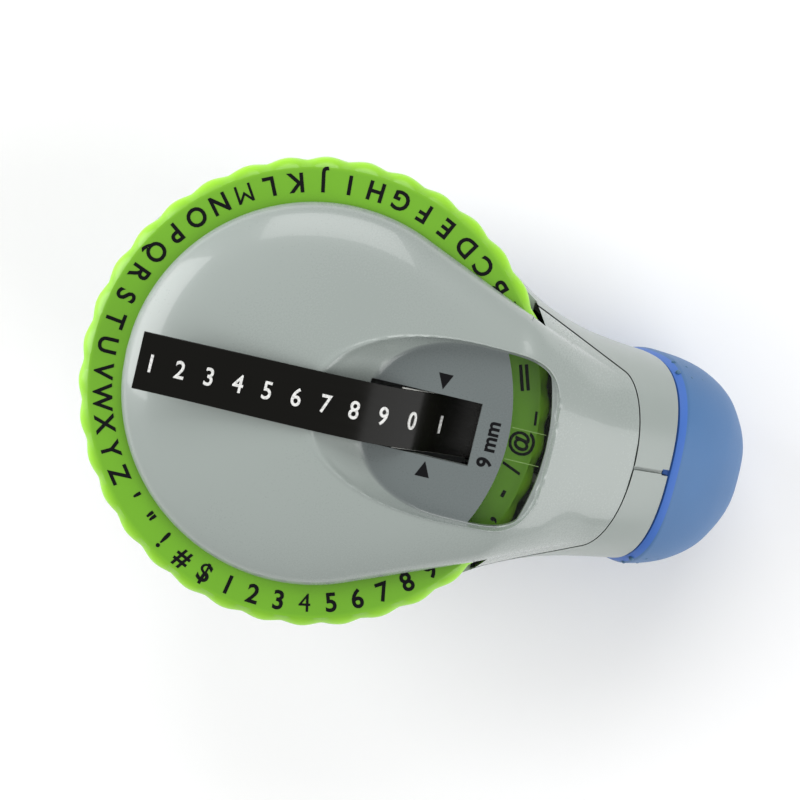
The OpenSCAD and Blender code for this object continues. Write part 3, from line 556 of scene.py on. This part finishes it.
class Value:
    """A number that varies over a surface. Arithmetic on it adds Math nodes."""

    def __init__(self, finish, socket):
        self.finish = finish
        self.socket = socket

    def _with(self, operation, first, second=0.0):
        """Join two numbers in a Math node."""
        return self.finish.value("ShaderNodeMath", {"operation": operation}, {0: first, 1: second})

    def __add__(self, other):
        return self._with("ADD", self, other)

    def __sub__(self, other):
        return self._with("SUBTRACT", self, other)

    def __rsub__(self, other):
        return self._with("SUBTRACT", other, self)

    def __mul__(self, other):
        return self._with("MULTIPLY", self, other)

    def __pow__(self, other):
        return self._with("POWER", self, other)

    __radd__ = __add__
    __rmul__ = __mul__

    def above(self, level, soft):
        """0 below a level and 1 above it, eased over a width."""
        return self.finish.value("ShaderNodeMapRange", {"interpolation_type": "SMOOTHSTEP"},
                                 {0: self, 1: level - soft / 2, 2: level + soft / 2})

    def root(self):
        """Square root."""
        return self._with("SQRT", self)


class Finish:
    """A material made of nodes."""

    def __init__(self, name):
        self.material = bpy.data.materials.new(name)
        self.material.use_nodes = True
        self.tree = self.material.node_tree
        self.shader = self.tree.nodes["Principled BSDF"]

    def node(self, kind, settings_=None, values=None):
        """Add a node, set it up and fill or link its sockets."""
        made = self.tree.nodes.new(kind)
        for name, value in (settings_ or {}).items():
            setattr(made, name, value)
        for key, value in (values or {}).items():
            self.feed(made.inputs[key], value)
        return made

    def feed(self, socket, value):
        """Give a socket a constant, or link what varies to it."""
        if isinstance(value, Value):
            value = value.socket
        if isinstance(value, bpy.types.NodeSocket):
            self.tree.links.new(value, socket)
        elif hasattr(socket.default_value, "__len__") and len(socket.default_value) == 4:
            socket.default_value = (*tuple(value)[:3], 1.0)
        else:
            socket.default_value = value

    def value(self, kind, settings_=None, values=None):
        """Add a node and give its first output as a Value."""
        return Value(self, self.node(kind, settings_, values).outputs[0])

    def place(self):
        """Object coordinates centred on the dial, in millimetres."""
        coordinates = self.node("ShaderNodeTexCoord").outputs["Object"]
        return self.node("ShaderNodeMapping", {"vector_type": "POINT"}, {
            "Vector": coordinates, "Location": (-WHEEL_X, 0, 0), "Scale": [1 / MM] * 3}).outputs[0]

    def axes(self):
        """X, Y and Z of a point on the surface, in millimetres on the wheel's axes."""
        split = self.node("ShaderNodeSeparateXYZ", None, {0: self.place()})
        return [Value(self, out) for out in split.outputs]

    def noise(self, scale, detail=3.0, rough=0.5):
        """Noise in the solid, with its scale in cells per millimetre."""
        return self.value("ShaderNodeTexNoise", {}, {
            "Vector": self.place(), "Scale": scale, "Detail": detail, "Roughness": rough})

    def blend(self, factor, first, second):
        """Colour between two colours."""
        made = self.node("ShaderNodeMix", {"data_type": "RGBA"})
        self.feed(made.inputs[0], factor)
        self.feed(made.inputs[6], first)
        self.feed(made.inputs[7], second)
        return made.outputs[2]

    def shade(self, **values):
        """Set the shader's sockets; an underscore stands for a space."""
        for name, value in values.items():
            self.feed(self.shader.inputs[name.replace("_", " ")], value)
        return self

    def bump(self, height, strength, distance=0.0001):
        """Relief on the surface."""
        relief = self.node("ShaderNodeBump", {}, {"Height": height, "Strength": strength,
                                                  "Distance": distance})
        self.feed(self.shader.inputs["Normal"], relief.outputs[0])
        return self


def darker(colour, share):
    """A colour scaled down to a share of itself."""
    return tuple(c * share for c in colour[:3])


def shell_finish():
    """Pale glossy moulded plastic with a faint flow mark and fine mould grain, and painted shade on the floor
    of the recess.
    """
    own = settings("shell")
    made = Finish("shell_plastic")
    flow = made.noise(0.035, 2.0)
    grain = made.noise(3.2, 4.0, 0.6)
    base = made.blend(flow.above(0.5, 0.5), darker(own.colour, 0.965), own.colour)
    x, y, z = made.axes()
    # Mask of the painted shade and dark reflection: the floor of the recess, short of the window's arc, takes
    # the darker colour.
    floor = 1 - z.above(PLATE_Z + 0.25, 0.5)
    reach = ((x - 21) * (x - 21) * 0.8 + y * y).root()
    inside = 1 - (x * x + y * y).root().above(34.2, 0.6)
    shaded_plate = floor * inside * (1 - reach.above(16.5, 1.5)) * z.above(PLATE_Z - 0.4, 0.2)
    made.shade(Base_Color=made.blend(shaded_plate, base, own.shaded_plate), Roughness=0.22 + 0.07 * flow + 0.05 * grain,
               IOR=1.5, Coat_Weight=0.5, Coat_Roughness=0.05)
    return made.bump(grain, 0.015).material


def casing_finish():
    """The same plastic with the slightly duller, finely grained surface of the handle."""
    own = settings("shell")
    made = Finish("casing_plastic")
    flow = made.noise(0.05, 2.0)
    grain = made.noise(4.5, 5.0, 0.65)
    made.shade(Base_Color=made.blend(flow.above(0.5, 0.6), darker(own.colour, 0.95), own.colour),
               Roughness=0.27 + 0.1 * grain, IOR=1.5, Coat_Weight=0.1, Coat_Roughness=0.2)
    return made.bump(grain, 0.03).material


def dial_finish():
    """Translucent-looking lime plastic: a duller face and a lighter, smoother rim."""
    own = settings("dial")
    made = Finish("dial_plastic")
    x, y, _ = made.axes()
    radius = (x * x + y * y).root()
    haze = made.noise(0.12, 3.0)
    grain = made.noise(3.0, 4.0)
    rim = radius.above(DIAL_R - 1.1, 2.4)
    face = made.blend(haze.above(0.5, 0.6), darker(own.colour, 0.94), own.colour)
    made.shade(Base_Color=made.blend(rim, face, own.rim), Roughness=0.3 + 0.12 * grain - 0.05 * rim,
               IOR=1.5, Coat_Weight=0.15, Coat_Roughness=0.1)
    return made.bump(grain, 0.06).material


def soft_finish():
    """Matt blue plastic with a fine eroded grain and a deeper blue chamfered lip."""
    own = settings("cap")
    made = Finish("blue_plastic")
    grain = made.noise(6.0, 6.0, 0.7)
    cloud = made.noise(0.08, 2.0)
    x, _, z = made.axes()
    behind = x - math.tan(JOINT_SLOPE) * z - (JOINT[0] - math.tan(JOINT_SLOPE) * JOINT[1])
    lip = z.above(6, 4) * (1 - behind.above(own.lip + 0.25, 0.1))
    body = made.blend(cloud.above(0.5, 0.6), darker(own.colour, 0.93), own.colour)
    made.shade(Base_Color=made.blend(lip, body, own.lip_colour), Roughness=0.42 + 0.16 * grain, IOR=1.48)
    return made.bump(grain, 0.2).material


def tape_finish():
    """Glossy black vinyl with faint lengthwise drawing marks."""
    own = settings("tape")
    made = Finish("tape_vinyl")
    split = made.node("ShaderNodeMapping", {}, {"Vector": made.place(), "Scale": (0.05, 1.6, 0.05)})
    drawn = made.value("ShaderNodeTexNoise", {}, {"Vector": split.outputs[0], "Scale": 1.0, "Detail": 3.0})
    made.shade(Base_Color=own.colour, Roughness=0.12 + 0.14 * drawn, IOR=1.5, Specular_IOR_Level=0.16)
    return made.bump(drawn, 0.06).material


def emboss_finish():
    """Stretched vinyl, whitened where the punch pressed it, with greyer flecks."""
    own = settings("tape")
    made = Finish("pressed_vinyl")
    fleck = made.noise(3.0, 3.0)
    made.shade(Base_Color=made.blend(fleck.above(0.42, 0.3), darker(own.emboss, 0.62), own.emboss),
               Roughness=0.4 + 0.2 * fleck)
    return made.bump(fleck, 0.2).material


def ink_finish():
    """Matt printed ink, very slightly uneven."""
    made = Finish("black_ink")
    fleck = made.noise(5.0, 3.0)
    made.shade(Base_Color=settings("dial").ink, Roughness=0.45 + 0.2 * fleck, Specular_IOR_Level=0.12)
    return made.bump(fleck, 0.05).material


def lens_finish():
    """Clear tinted plastic with faint handling haze."""
    made = Finish("clear_plastic")
    haze = made.noise(0.4, 3.0)
    made.shade(Base_Color=(0.05, 0.06, 0.05), Roughness=0.03 + 0.05 * haze, IOR=1.49, Alpha=0.08)
    return made.material


def metal_finish(name, colour, roughness, brushed=(1, 1, 1)):
    """Metal with marks drawn out along one axis."""
    made = Finish(name)
    stretched = made.node("ShaderNodeMapping", {}, {"Vector": made.place(), "Scale": brushed})
    marks = made.value("ShaderNodeTexNoise", {}, {"Vector": stretched.outputs[0], "Scale": 1.2,
                                                  "Detail": 4.0})
    made.shade(Base_Color=made.blend(marks.above(0.5, 0.5), darker(colour, 0.85), colour), Metallic=1.0,
               Roughness=roughness + 0.18 * marks)
    return made.bump(marks, 0.08).material


def plain_finish(name, colour, roughness, grain_scale=3.0, relief=0.08):
    """Moulded plastic or rubber with its grain."""
    made = Finish(name)
    grain = made.noise(grain_scale, 4.0, 0.6)
    cloud = made.noise(0.15, 2.0)
    made.shade(Base_Color=made.blend(cloud.above(0.5, 0.6), darker(colour, 0.9), colour),
               Roughness=roughness + 0.12 * grain)
    return made.bump(grain, relief).material


@lru_cache(maxsize=None)
def finish(name):
    """The material of a finish, made once."""
    makers = {
        "shell": (shell_finish,), "casing": (casing_finish,), "dial": (dial_finish,),
        "blue": (soft_finish,), "tape": (tape_finish,), "emboss": (emboss_finish,),
        "ink": (ink_finish,), "lens": (lens_finish,),
        "metal": (metal_finish, "bright_steel", (0.62, 0.62, 0.61), 0.2, (0.3, 4, 0.3)),
        "chassis": (metal_finish, "grey_zinc", (0.33, 0.34, 0.35), 0.36),
        "spring": (metal_finish, "spring_wire", (0.5, 0.5, 0.5), 0.22),
        "brass": (metal_finish, "turned_brass", (0.72, 0.52, 0.2), 0.2, (0.3, 0.3, 5)),
        "dark": (plain_finish, "dark_nylon", (0.06, 0.065, 0.07), 0.35),
        "white": (plain_finish, "white_nylon", (0.72, 0.72, 0.68), 0.35),
        "rubber": (plain_finish, "roller_rubber", (0.03, 0.03, 0.03), 0.62, 8.0, 0.3),
        "red": (plain_finish, "red_plastic", (0.45, 0.03, 0.025), 0.3),
        "bead": (plain_finish, "blue_bead", (0.055, 0.15, 0.27), 0.4),
        "line": (plain_finish, "pale_line", (0.30, 0.46, 0.16), 0.3),
    }
    maker, *values = makers[name]
    return maker(*values)


def dress(piece, name):
    """Give every face of a piece one finish."""
    piece.data.materials.clear()
    piece.data.materials.append(finish(name))
    return piece


# ---------------------------------------------------------------- pieces


class PieceOperator(bpy.types.Operator):
    """Base of the operators that build the label maker."""

    bl_options = {"REGISTER", "UNDO"}

    def execute(self, context):
        self.build()
        return {"FINISHED"}


class LABELMAKER_OT_cover(PieceOperator):
    """Build the domed top cover with its recess, tape slot and window"""

    bl_idname = "label_maker.cover"
    bl_label = "Top cover"

    def build(self):
        own = settings("shell")
        start, end = -DOME_R, NOSE_X + NOSE_LEN

        def top(u, v):
            x = mix(start, end, mix(u, (1 - math.cos(math.pi * u)) / 2, COLUMN_CROWDING))
            y = row_place(x, v)
            return x, y, cover_height(x, y)

        cover = net("cover_shell", own.columns, own.rows, top)
        self.skirt(cover, 37.1)

        def inner(u, v):
            x = mix(start + WALL, end - WALL, u)
            y = max(THIN, cover_half(x) - WALL) * math.cos(math.pi * v)
            under = min(recess_height(x + 0.6 * (x > EYE_X), y * 0.93), recess_height(x, y * 0.93))
            return x, y, min(form_height(x, y) - WALL, under - 1.5)

        hollow = self.skirt(net("hollow", 70, 44, inner), 30)
        carve(cover, hollow, rod(ROOM_R, 20, COVER_Z), box(EYE_FLOOR[0], 25.1, -4.85, 4.85, 40, 70),
              prism(window_outline(0.1), 40, 70))
        dress(smooth(cover, 38), "shell")
        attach(cover, "casing")
        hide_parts("top_cover")

    @staticmethod
    def skirt(piece, floor):
        """Draw the sheet's edge straight down to a flat floor and close it."""
        with edited(piece):
            bpy.ops.mesh.remove_doubles(threshold=MERGE / 2)
            bpy.ops.mesh.select_all(action="DESELECT")
            bpy.ops.mesh.select_mode(type="EDGE")
            bpy.ops.mesh.select_non_manifold(extend=False, use_wire=False, use_multi_face=False,
                                             use_verts=False)
            bpy.ops.mesh.extrude_edges_move(TRANSFORM_OT_translate={"value": (0, 0, -0.06)})
        for corner in piece.data.vertices:
            if corner.select:
                corner.co.z = floor * MM
        return closed(piece)


class LABELMAKER_OT_casings(PieceOperator):
    """Build the two halves of the casing, split along the handle"""

    bl_idname = "label_maker.casings"
    bl_label = "Casing halves"

    def build(self):
        seam = settings("shell").seam
        outer = self.skin("casing", 0, 130, 96)
        inner = self.skin("casing_hollow", WALL, 60, 48)
        carve(inner, side_prism(self.finger_room(WALL), -60, 60), box(-60, FINGERS_X[0], -60, 60, -10, 2))
        neck = [(NECK_X, -NECK_W - 0.2), (NECK_X, NECK_W + 0.2)] + [
            (NOSE_X + (NOSE_LEN + 0.2) * math.cos(math.radians(angle)),
             (NOSE_W + 0.2) * math.sin(math.radians(angle)))
            for angle in range(80, -81, -5)]
        groove = carve(box(-60, 120, -seam, seam, -5, 90), self.skin("groove_floor", GROOVE_DEPTH, 60, 48))
        carve(outer, groove, inner, side_prism(self.finger_room(0), -60, 60), self.behind_joint(),
              rod(ROOM_R, SHELF_Z, 90), rod(32.6, 38.25, 90), rod(30.75, 33.5, 90),
              prism(neck, 37.0, 90), box(-60, NECK_X, -60, 60, SHELF_Z, 90),
              box(*FINGERS_X, -11.9, 11.9, -1, 17), box(-17.2, -9.2, -6.4, 6.4, 4.4, 24.4),
              box(-12, -7, -6.4, 6.4, 2, 22), box(-80, 120, -80, 80, -20, 0),
              box(JOINT[0] - 1.1, JOINT[0] + 4.3, -0.5, 0.5, JOINT[1] - 4, JOINT[1] + 4))
        alone(outer)
        bpy.ops.object.duplicate()
        other = bpy.context.object
        for half, side, name in ((outer, 1, "left_shell"), (other, -1, "right_shell")):
            carve(half, box(-60, 120, *sorted((0.01 * side, 60 * side)), -5, 90), operation="INTERSECT")
            dress(smooth(named(name, half), 32), "casing")
            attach(half, "casing")
        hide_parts("left_housing")
        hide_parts("right_housing")

    @staticmethod
    def skin(name, inset, columns, rows):
        """Closed skin of the body, inset from its outside."""
        start, end = BODY[0][0], REACH - 2

        def point(u, v):
            x = mix(start, end, u)
            front = min(1, max(0, (-20 - x) / 15.4))
            at = body_point(x, 2 * math.pi * v, inset)
            return at[0] + inset * front, at[1], at[2]

        return closed(net(name, columns, rows, point))

    @staticmethod
    def finger_room(wall):
        """Side outline of the arch that the fingers reach through, or of the wall round it."""
        front, rear = FINGERS_X[0] - wall, FINGERS_X[1] + wall
        top = FINGERS_TOP + wall
        return [(front, -9), (front, 6), (-1, top), (35.2, top), (rear, 11), (rear, -9)]

    @staticmethod
    def behind_joint():
        """A block that holds everything behind the sloping joint of the cap."""
        low, high, far = -20, 80, 160
        edge = [(JOINT[0] + (z - JOINT[1]) * math.tan(JOINT_SLOPE), z) for z in (low, high)]
        return side_prism([*edge, (far, high), (far, low)], -60, 60)


class LABELMAKER_OT_cap(PieceOperator):
    """Build the blue end cap with its chamfered lip and grip dots"""

    bl_idname = "label_maker.cap"
    bl_label = "End cap"

    def build(self):
        own = settings("cap")
        tan = math.tan(JOINT_SLOPE)

        def point(u, v):
            angle = 2 * math.pi * v
            inside = u < 0.4
            run = (1 - u / 0.4) if inside else (u - 0.4) / 0.6
            lip = min(1, run * (REACH - JOINT[0]) / own.lip)
            proud = -WALL if inside else mix(-0.25, CAP_PROUD, lip)
            tip_x = REACH - (WALL if inside else 0)
            x = JOINT[0]
            for _ in range(14):
                spot = body_point(x, angle, -proud)
                edge = JOINT[0] + 0.25 + (spot[2] - JOINT[1]) * tan
                x = mix(x, mix(edge, tip_x, math.sin(run ** 1.2 * math.pi / 2)), 0.6)
            spot = body_point(min(x, tip_x), angle, -proud)
            tip = 0 if inside else max(0, (spot[0] - 50) / (REACH - 50))
            return spot[0] + CAP_PROUD * tip ** 1.5, spot[1], max(WALL if inside else 0, spot[2])

        cap = closed(net("cap_shell", 110, 144, point))
        tongues = [box(46, 62, side * 11.4, side * 12.8, 16, 24) for side in (-1, 1)]
        tongues.append(box(JOINT[0] - 0.9, JOINT[0] + 1.4, -0.4, 0.4, JOINT[1] - 2.4, JOINT[1] - 0.9))
        carve(cap, *tongues, operation="UNION")
        dress(smooth(cap, 40), "blue")
        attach(cap, "cap")
        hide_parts("end_cap")
        if own.dots:
            self.grip_dots()

    @staticmethod
    def grip_dots():
        """Five small beads on each flank."""
        beads = []
        for side in (0, 1):
            for x, lift in ((53.8, 15), (54.5, 27), (55.9, 17), (56.8, 29), (58.8, 25)):
                angle = math.radians(180 - lift if side else lift)
                bpy.ops.mesh.primitive_uv_sphere_add(segments=16, ring_count=8, radius=0.42 * MM,
                                                     location=wheel(*body_point(x, angle, 0.28 - CAP_PROUD)))
                beads.append(bpy.context.object)
        dots = joined(beads, "grip_dots")
        bpy.ops.object.transform_apply(location=True, rotation=True, scale=True)
        dress(smooth(dots), "bead")
        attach(dots, "cap")


class LABELMAKER_OT_dial(PieceOperator):
    """Build the scalloped character dial and print its characters"""

    bl_idname = "label_maker.dial"
    bl_label = "Character dial"

    def build(self):
        own = settings("dial")
        steps = own.scallops * 12
        profile = [(27.6, DIAL_Z + 0.02, 0), (27.6, DIAL_TOP - 0.02, 0), (34.2, DIAL_TOP - 0.02, 0),
                   (34.45, DIAL_TOP - 0.06, 0.1), (35.1, DIAL_TOP - 0.5, 0.7), (35.55, DIAL_TOP - 0.85, 1),
                   (35.82, DIAL_TOP - 1.2, 1), (35.92, DIAL_TOP - 1.6, 1), (35.92, DIAL_Z + 0.6, 1),
                   (35.7, DIAL_Z + 0.2, 1), (35.4, DIAL_Z + 0.02, 0.8), (27.6, DIAL_Z + 0.02, 0)]

        def point(u, v):
            radius, z, share = profile[round(u * (len(profile) - 1))]
            angle = 2 * math.pi * v
            wave = 1 - abs(math.cos(angle * own.scallops / 2)) ** 1.4
            radius -= own.depth * share * wave
            return radius * math.cos(angle), radius * math.sin(angle), z

        dial = net("dial_ring", len(profile) - 1, steps, point)
        closed(dial)
        dress(smooth(dial, 30), "dial")
        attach(dial, "dial")
        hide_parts("upper_dial")
        printed = dress(joined(list(self.print_marks(own)), "dial_characters"), "ink")
        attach(printed, "dial")

    @staticmethod
    def print_marks(own):
        """One flat character at each stop, with its top towards the axis."""
        for stop, mark in enumerate(own.marks):
            if mark == " ":
                continue
            wide = mark == "="
            angle = 2 * math.pi * (stop + (0.5 if wide else 0)) / STOPS
            at = (Matrix.Rotation(angle, 4, "Z") @ Matrix.Translation((LETTER_R * MM, 0, 0))
                  @ Matrix.Rotation(math.pi / 2, 4, "Z"))
            yield lettering(mark, own.letter, wheel(0, 0, DIAL_TOP - 0.01), at, stretch=1.9 if wide else 0.95,
                            weight=0 if mark in "M4" else 0.022)


def lettering(text, size_mm, origin, placing, stretch=1.0, depth=0.03, weight=0.01, bevel=0.0):
    """Printed or pressed characters as a mesh, centred on their place."""
    bpy.ops.object.text_add()
    drawn = bpy.context.object
    drawn.data.body = text
    drawn.data.size = size_mm * MM
    drawn.data.align_x = "CENTER"
    drawn.data.offset = weight * size_mm * MM
    drawn.data.extrude = depth * MM
    drawn.data.bevel_depth = bevel * MM
    drawn.data.bevel_resolution = 1
    drawn.data.resolution_u = 4
    bpy.ops.object.convert(target="MESH")
    drawn = bpy.context.object
    middle = 0.36 * size_mm * MM
    drawn.data.transform(Matrix.Translation(origin) @ placing @ Matrix.Diagonal((stretch, 1, 1, 1))
                         @ Matrix.Translation((0, -middle, 0)))
    return drawn


class LABELMAKER_OT_window(PieceOperator):
    """Finish the clear lens and draw the two pointer lines on it"""

    bl_idname = "label_maker.window"
    bl_label = "Character window"

    def build(self):
        low, top = (corner.z for corner in span("window_lens"))
        lens = prism(window_outline(0.2), low, top)
        modified(lens, "BEVEL", width=0.12 * MM, segments=2, limit_method="ANGLE",
                 angle_limit=math.radians(40))
        dress(smooth(named("clear_lens", lens)), "lens")
        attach(lens, "casing")
        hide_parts("window_lens")
        for side, word in SIDES:
            middle = side * 2.45
            line = box(30.2, 35.5, middle - 0.035, middle + 0.035, top - 0.02, top + 0.02)
            modified(named("pointer_line_" + word, line), "BEVEL", width=0.015 * MM, segments=1)
            dress(line, "line")
            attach(line, "casing")


class LABELMAKER_OT_marks(PieceOperator):
    """Print the two cutting triangles and the size mark on the plate"""

    bl_idname = "label_maker.marks"
    bl_label = "Plate marks"

    def build(self):
        for side, word in SIDES:
            mark = prism([(18.7 - 1.12, side * 8), (18.7 + 1.12, side * 8), (18.7, side * 5.6)],
                         PLATE_Z - 0.005, PLATE_Z + 0.035)
            self.finished(modified(named("cut_mark_" + word, mark), "BEVEL", width=0.01 * MM, segments=1))
        turn = Matrix.Rotation(math.pi / 2, 4, "Z")
        sized = lettering("9 mm", 3.1, wheel(27.3, -0.9, PLATE_Z + 0.01), turn, depth=0.02, weight=0.03)
        self.finished(named("size_mark", sized))

    @staticmethod
    def finished(mark):
        """Ink a mark and fix it to the casing."""
        dress(mark, "ink")
        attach(mark, "casing")


class LABELMAKER_OT_tape(PieceOperator):
    """Build the embossed tape from its roll to its free end and press its digits"""

    bl_idname = "label_maker.tape"
    bl_label = "Embossed tape"

    nip = (43, 37.6)
    roll = (52.3, 19.4)
    roll_r = 12.2
    margin = 2.0

    def build(self):
        self.own = settings("tape")
        tangent = math.radians(65)
        touch = [c + (self.roll_r + TAPE_T / 2 + 0.25) * f
                 for c, f in zip(self.roll, (math.cos(tangent), math.sin(tangent)))]
        self.route = [(-26.4, DOME_TOP + 3.9), (-16, DOME_TOP + 2.7), (-6, DOME_TOP + 1.7),
                      (4, DOME_TOP + 0.5), (10.5, DOME_TOP - 1.2), (15.5, DOME_TOP - 4.4),
                      (19.5, DOME_TOP - 8.2), (23, SHELF_Z + 1.9), (26.4, SHELF_Z + 0.35), (29, SHELF_Z),
                      (33, SHELF_Z), (37, SHELF_Z - 0.35), (40, SHELF_Z - 1.35), self.nip, tuple(touch)]
        edge = TAPE_W / 2
        ring = [(edge, -0.09), (edge, 0.09), (edge - 0.06, 0.15), (-edge + 0.06, 0.15), (-edge, 0.09),
                (-edge, -0.09), (-edge + 0.06, -0.15), (edge - 0.06, -0.15), (edge, -0.09)]
        start, end = self.route[0][0], touch[0]

        def point(u, v):
            across, lift = ring[round(v * 8)]
            return self.spot(mix(start, end, u), across, lift)

        tape = closed(net("embossed_tape", 220, 8, point))
        dress(smooth(tape), "tape")
        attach(tape, "casing")
        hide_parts("tape_strip")
        digits = [self.press(mark, start + self.margin + k * self.own.pitch)
                  for k, mark in enumerate(self.own.label)]
        pressed = dress(joined(digits, "pressed_digits"), "emboss")
        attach(pressed, "casing")

    def turn(self, x):
        """Twist of the tape at x: none in the slot, most at the free end."""
        return self.own.twist * ease((12 - x) / (12 - self.route[0][0]))

    def spot(self, x, across, lift):
        """Place on the tape: across it from its middle, and above its middle plane."""
        z = through(self.route, x, 1)
        rise = (through(self.route, x + 0.05, 1) - through(self.route, x - 0.05, 1)) / 0.1
        along = math.hypot(1, rise)
        angle = self.turn(x)
        edge = TAPE_W / 2
        side = (across - edge) * math.cos(angle) + edge - lift * math.sin(angle)
        up = (across - edge) * math.sin(angle) + lift * math.cos(angle)
        return x - up * rise / along, side, z + up / along

    def press(self, mark, x):
        """One raised character that follows the tape."""
        low, mid, high = (wheel(*self.spot(x + dx, 0, TAPE_T / 2)) for dx in (-0.5, 0, 0.5))
        along = (high - low).normalized()
        side = (wheel(*self.spot(x, 1, 0)) - wheel(*self.spot(x, -1, 0))).normalized()
        up = along.cross(side)
        placing = Matrix((along, side, up)).transposed().to_4x4()
        return lettering(mark, 3.9, mid, placing, stretch=0.85, depth=0.12, weight=-0.012, bevel=0.1)


class LABELMAKER_OT_trigger(PieceOperator):
    """Round the edges of the trigger"""

    bl_idname = "label_maker.trigger"
    bl_label = "Trigger"

    def build(self):
        grip = frame["nodes"]["trigger"].copy()
        grip.data = grip.data.copy()
        named("trigger_grip", grip)
        for key in [key for key in grip.keys() if key.startswith("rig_")]:
            del grip[key]
        grip.parent = None
        bpy.context.scene.collection.objects.link(grip)
        with edited(grip):
            bpy.ops.mesh.remove_doubles(threshold=0.01 * MM)
            bpy.ops.mesh.dissolve_limited(angle_limit=math.radians(1))
        modified(grip, "BEVEL", width=0.7 * MM, segments=3, limit_method="ANGLE",
                 angle_limit=math.radians(30))
        dress(smooth(grip), "blue")
        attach(grip, "trigger")
        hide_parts("trigger")


class LABELMAKER_OT_finishes(PieceOperator):
    """Give every CAD piece that stays in view its finish"""

    bl_idname = "label_maker.finishes"
    bl_label = "Inner finishes"

    def build(self):
        slots = {part["node"]: part["material_slot"] for part in frame["record"]["subparts"]}
        for node, piece in frame["nodes"].items():
            dress(piece, slots[node])
            smooth(piece, 30)


class LABELMAKER_OT_stage(PieceOperator):
    """Set the camera, the pale floor and the soft light"""

    bl_idname = "label_maker.stage"
    bl_label = "Stage"

    def build(self):
        own = settings("stage")
        right = Vector((math.cos(own.roll), math.sin(own.roll), 0))
        up = Vector((-math.sin(own.roll), math.cos(own.roll), 0))
        target = wheel(0, 0, 44) + (13.06 * right - 1.08 * up) * MM
        back = math.sin(own.lean) * up + math.cos(own.lean) * Vector((0, 0, 1))
        bpy.ops.object.camera_add()
        camera = bpy.context.object
        camera.data.lens = own.lens
        camera.data.sensor_width = 36
        camera.data.clip_start = 0.01
        lift = back.cross(right)
        camera.matrix_world = Matrix.Translation(target + own.distance * back) @ Matrix(
            (right, lift, back)).transposed().to_4x4()
        bpy.context.scene.camera = camera
        bpy.ops.mesh.primitive_plane_add(size=6)
        floor = named("floor")
        made = Finish("floor_paper")
        made.shade(Base_Color=own.floor, Roughness=0.55 + 0.1 * made.noise(0.02, 2.0))
        floor.data.materials.append(made.material)
        floor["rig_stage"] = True
        for name, place, width, height, power_ in (
                ("soft_back", (-0.15, 0.95, 0.75), 0.9, 0.7, 5.6),
                ("soft_left", (-0.95, 0.1, 0.45), 0.8, 0.8, 8.5),
                ("soft_right", (0.95, -0.25, 0.65), 1.1, 1.2, 9)):
            bpy.ops.object.light_add(type="AREA")
            light = bpy.context.object
            light.name = name
            light.data.shape = "RECTANGLE"
            light.data.size, light.data.size_y = width, height
            light.data.energy = power_
            away = (Vector(place) - Vector((0, 0, 0.03))).normalized()
            light.matrix_world = Matrix.Translation(place) @ away.to_track_quat("Z", "Y").to_matrix().to_4x4()
        world = bpy.data.worlds.new("pale_room")
        world.use_nodes = True
        world.node_tree.nodes["Background"].inputs[0].default_value = (1, 1, 1, 1)
        world.node_tree.nodes["Background"].inputs[1].default_value = 0.42
        bpy.context.scene.world = world
        bpy.context.scene.view_settings.view_transform = "Standard"


OPERATORS = (LABELMAKER_OT_stage, LABELMAKER_OT_finishes, LABELMAKER_OT_casings, LABELMAKER_OT_cover,
             LABELMAKER_OT_window, LABELMAKER_OT_marks, LABELMAKER_OT_dial, LABELMAKER_OT_tape,
             LABELMAKER_OT_cap, LABELMAKER_OT_trigger)
GROUPS = {"shell": ShellSettings, "dial": DialSettings, "tape": TapeSettings, "cap": CapSettings,
          "stage": StageSettings}


class LABELMAKER_PT_pieces(bpy.types.Panel):
    """Settings and build buttons of the label maker"""

    bl_label = "Label maker"
    bl_space_type = "VIEW_3D"
    bl_region_type = "UI"
    bl_category = "Label maker"

    def draw(self, context):
        for group, kind in GROUPS.items():
            part = self.layout.box()
            part.label(text=group.title())
            for name in kind.__annotations__:
                part.prop(settings(group), name)
        for operator in OPERATORS:
            self.layout.operator(operator.bl_idname)


def register():
    """Register the settings, the operators and the panel."""
    for group, kind in GROUPS.items():
        bpy.utils.register_class(kind)
        setattr(bpy.types.Scene, "label_maker_" + group, PointerProperty(type=kind))
    for kind in (*OPERATORS, LABELMAKER_PT_pieces):
        bpy.utils.register_class(kind)


def unregister():
    """Undo register()."""
    for kind in reversed((*OPERATORS, LABELMAKER_PT_pieces)):
        bpy.utils.unregister_class(kind)
    for group, kind in GROUPS.items():
        delattr(bpy.types.Scene, "label_maker_" + group)
        bpy.utils.unregister_class(kind)


def main():
    """Build the whole label maker and work out how far it reaches."""
    register()
    for operator in OPERATORS:
        family, name = operator.bl_idname.split(".")
        getattr(getattr(bpy.ops, family), name)()
    reach = [[list(map(float, corner)) for corner in bounds] for bounds in (frame_bounds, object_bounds())]


if __name__ == "__main__":
    main()
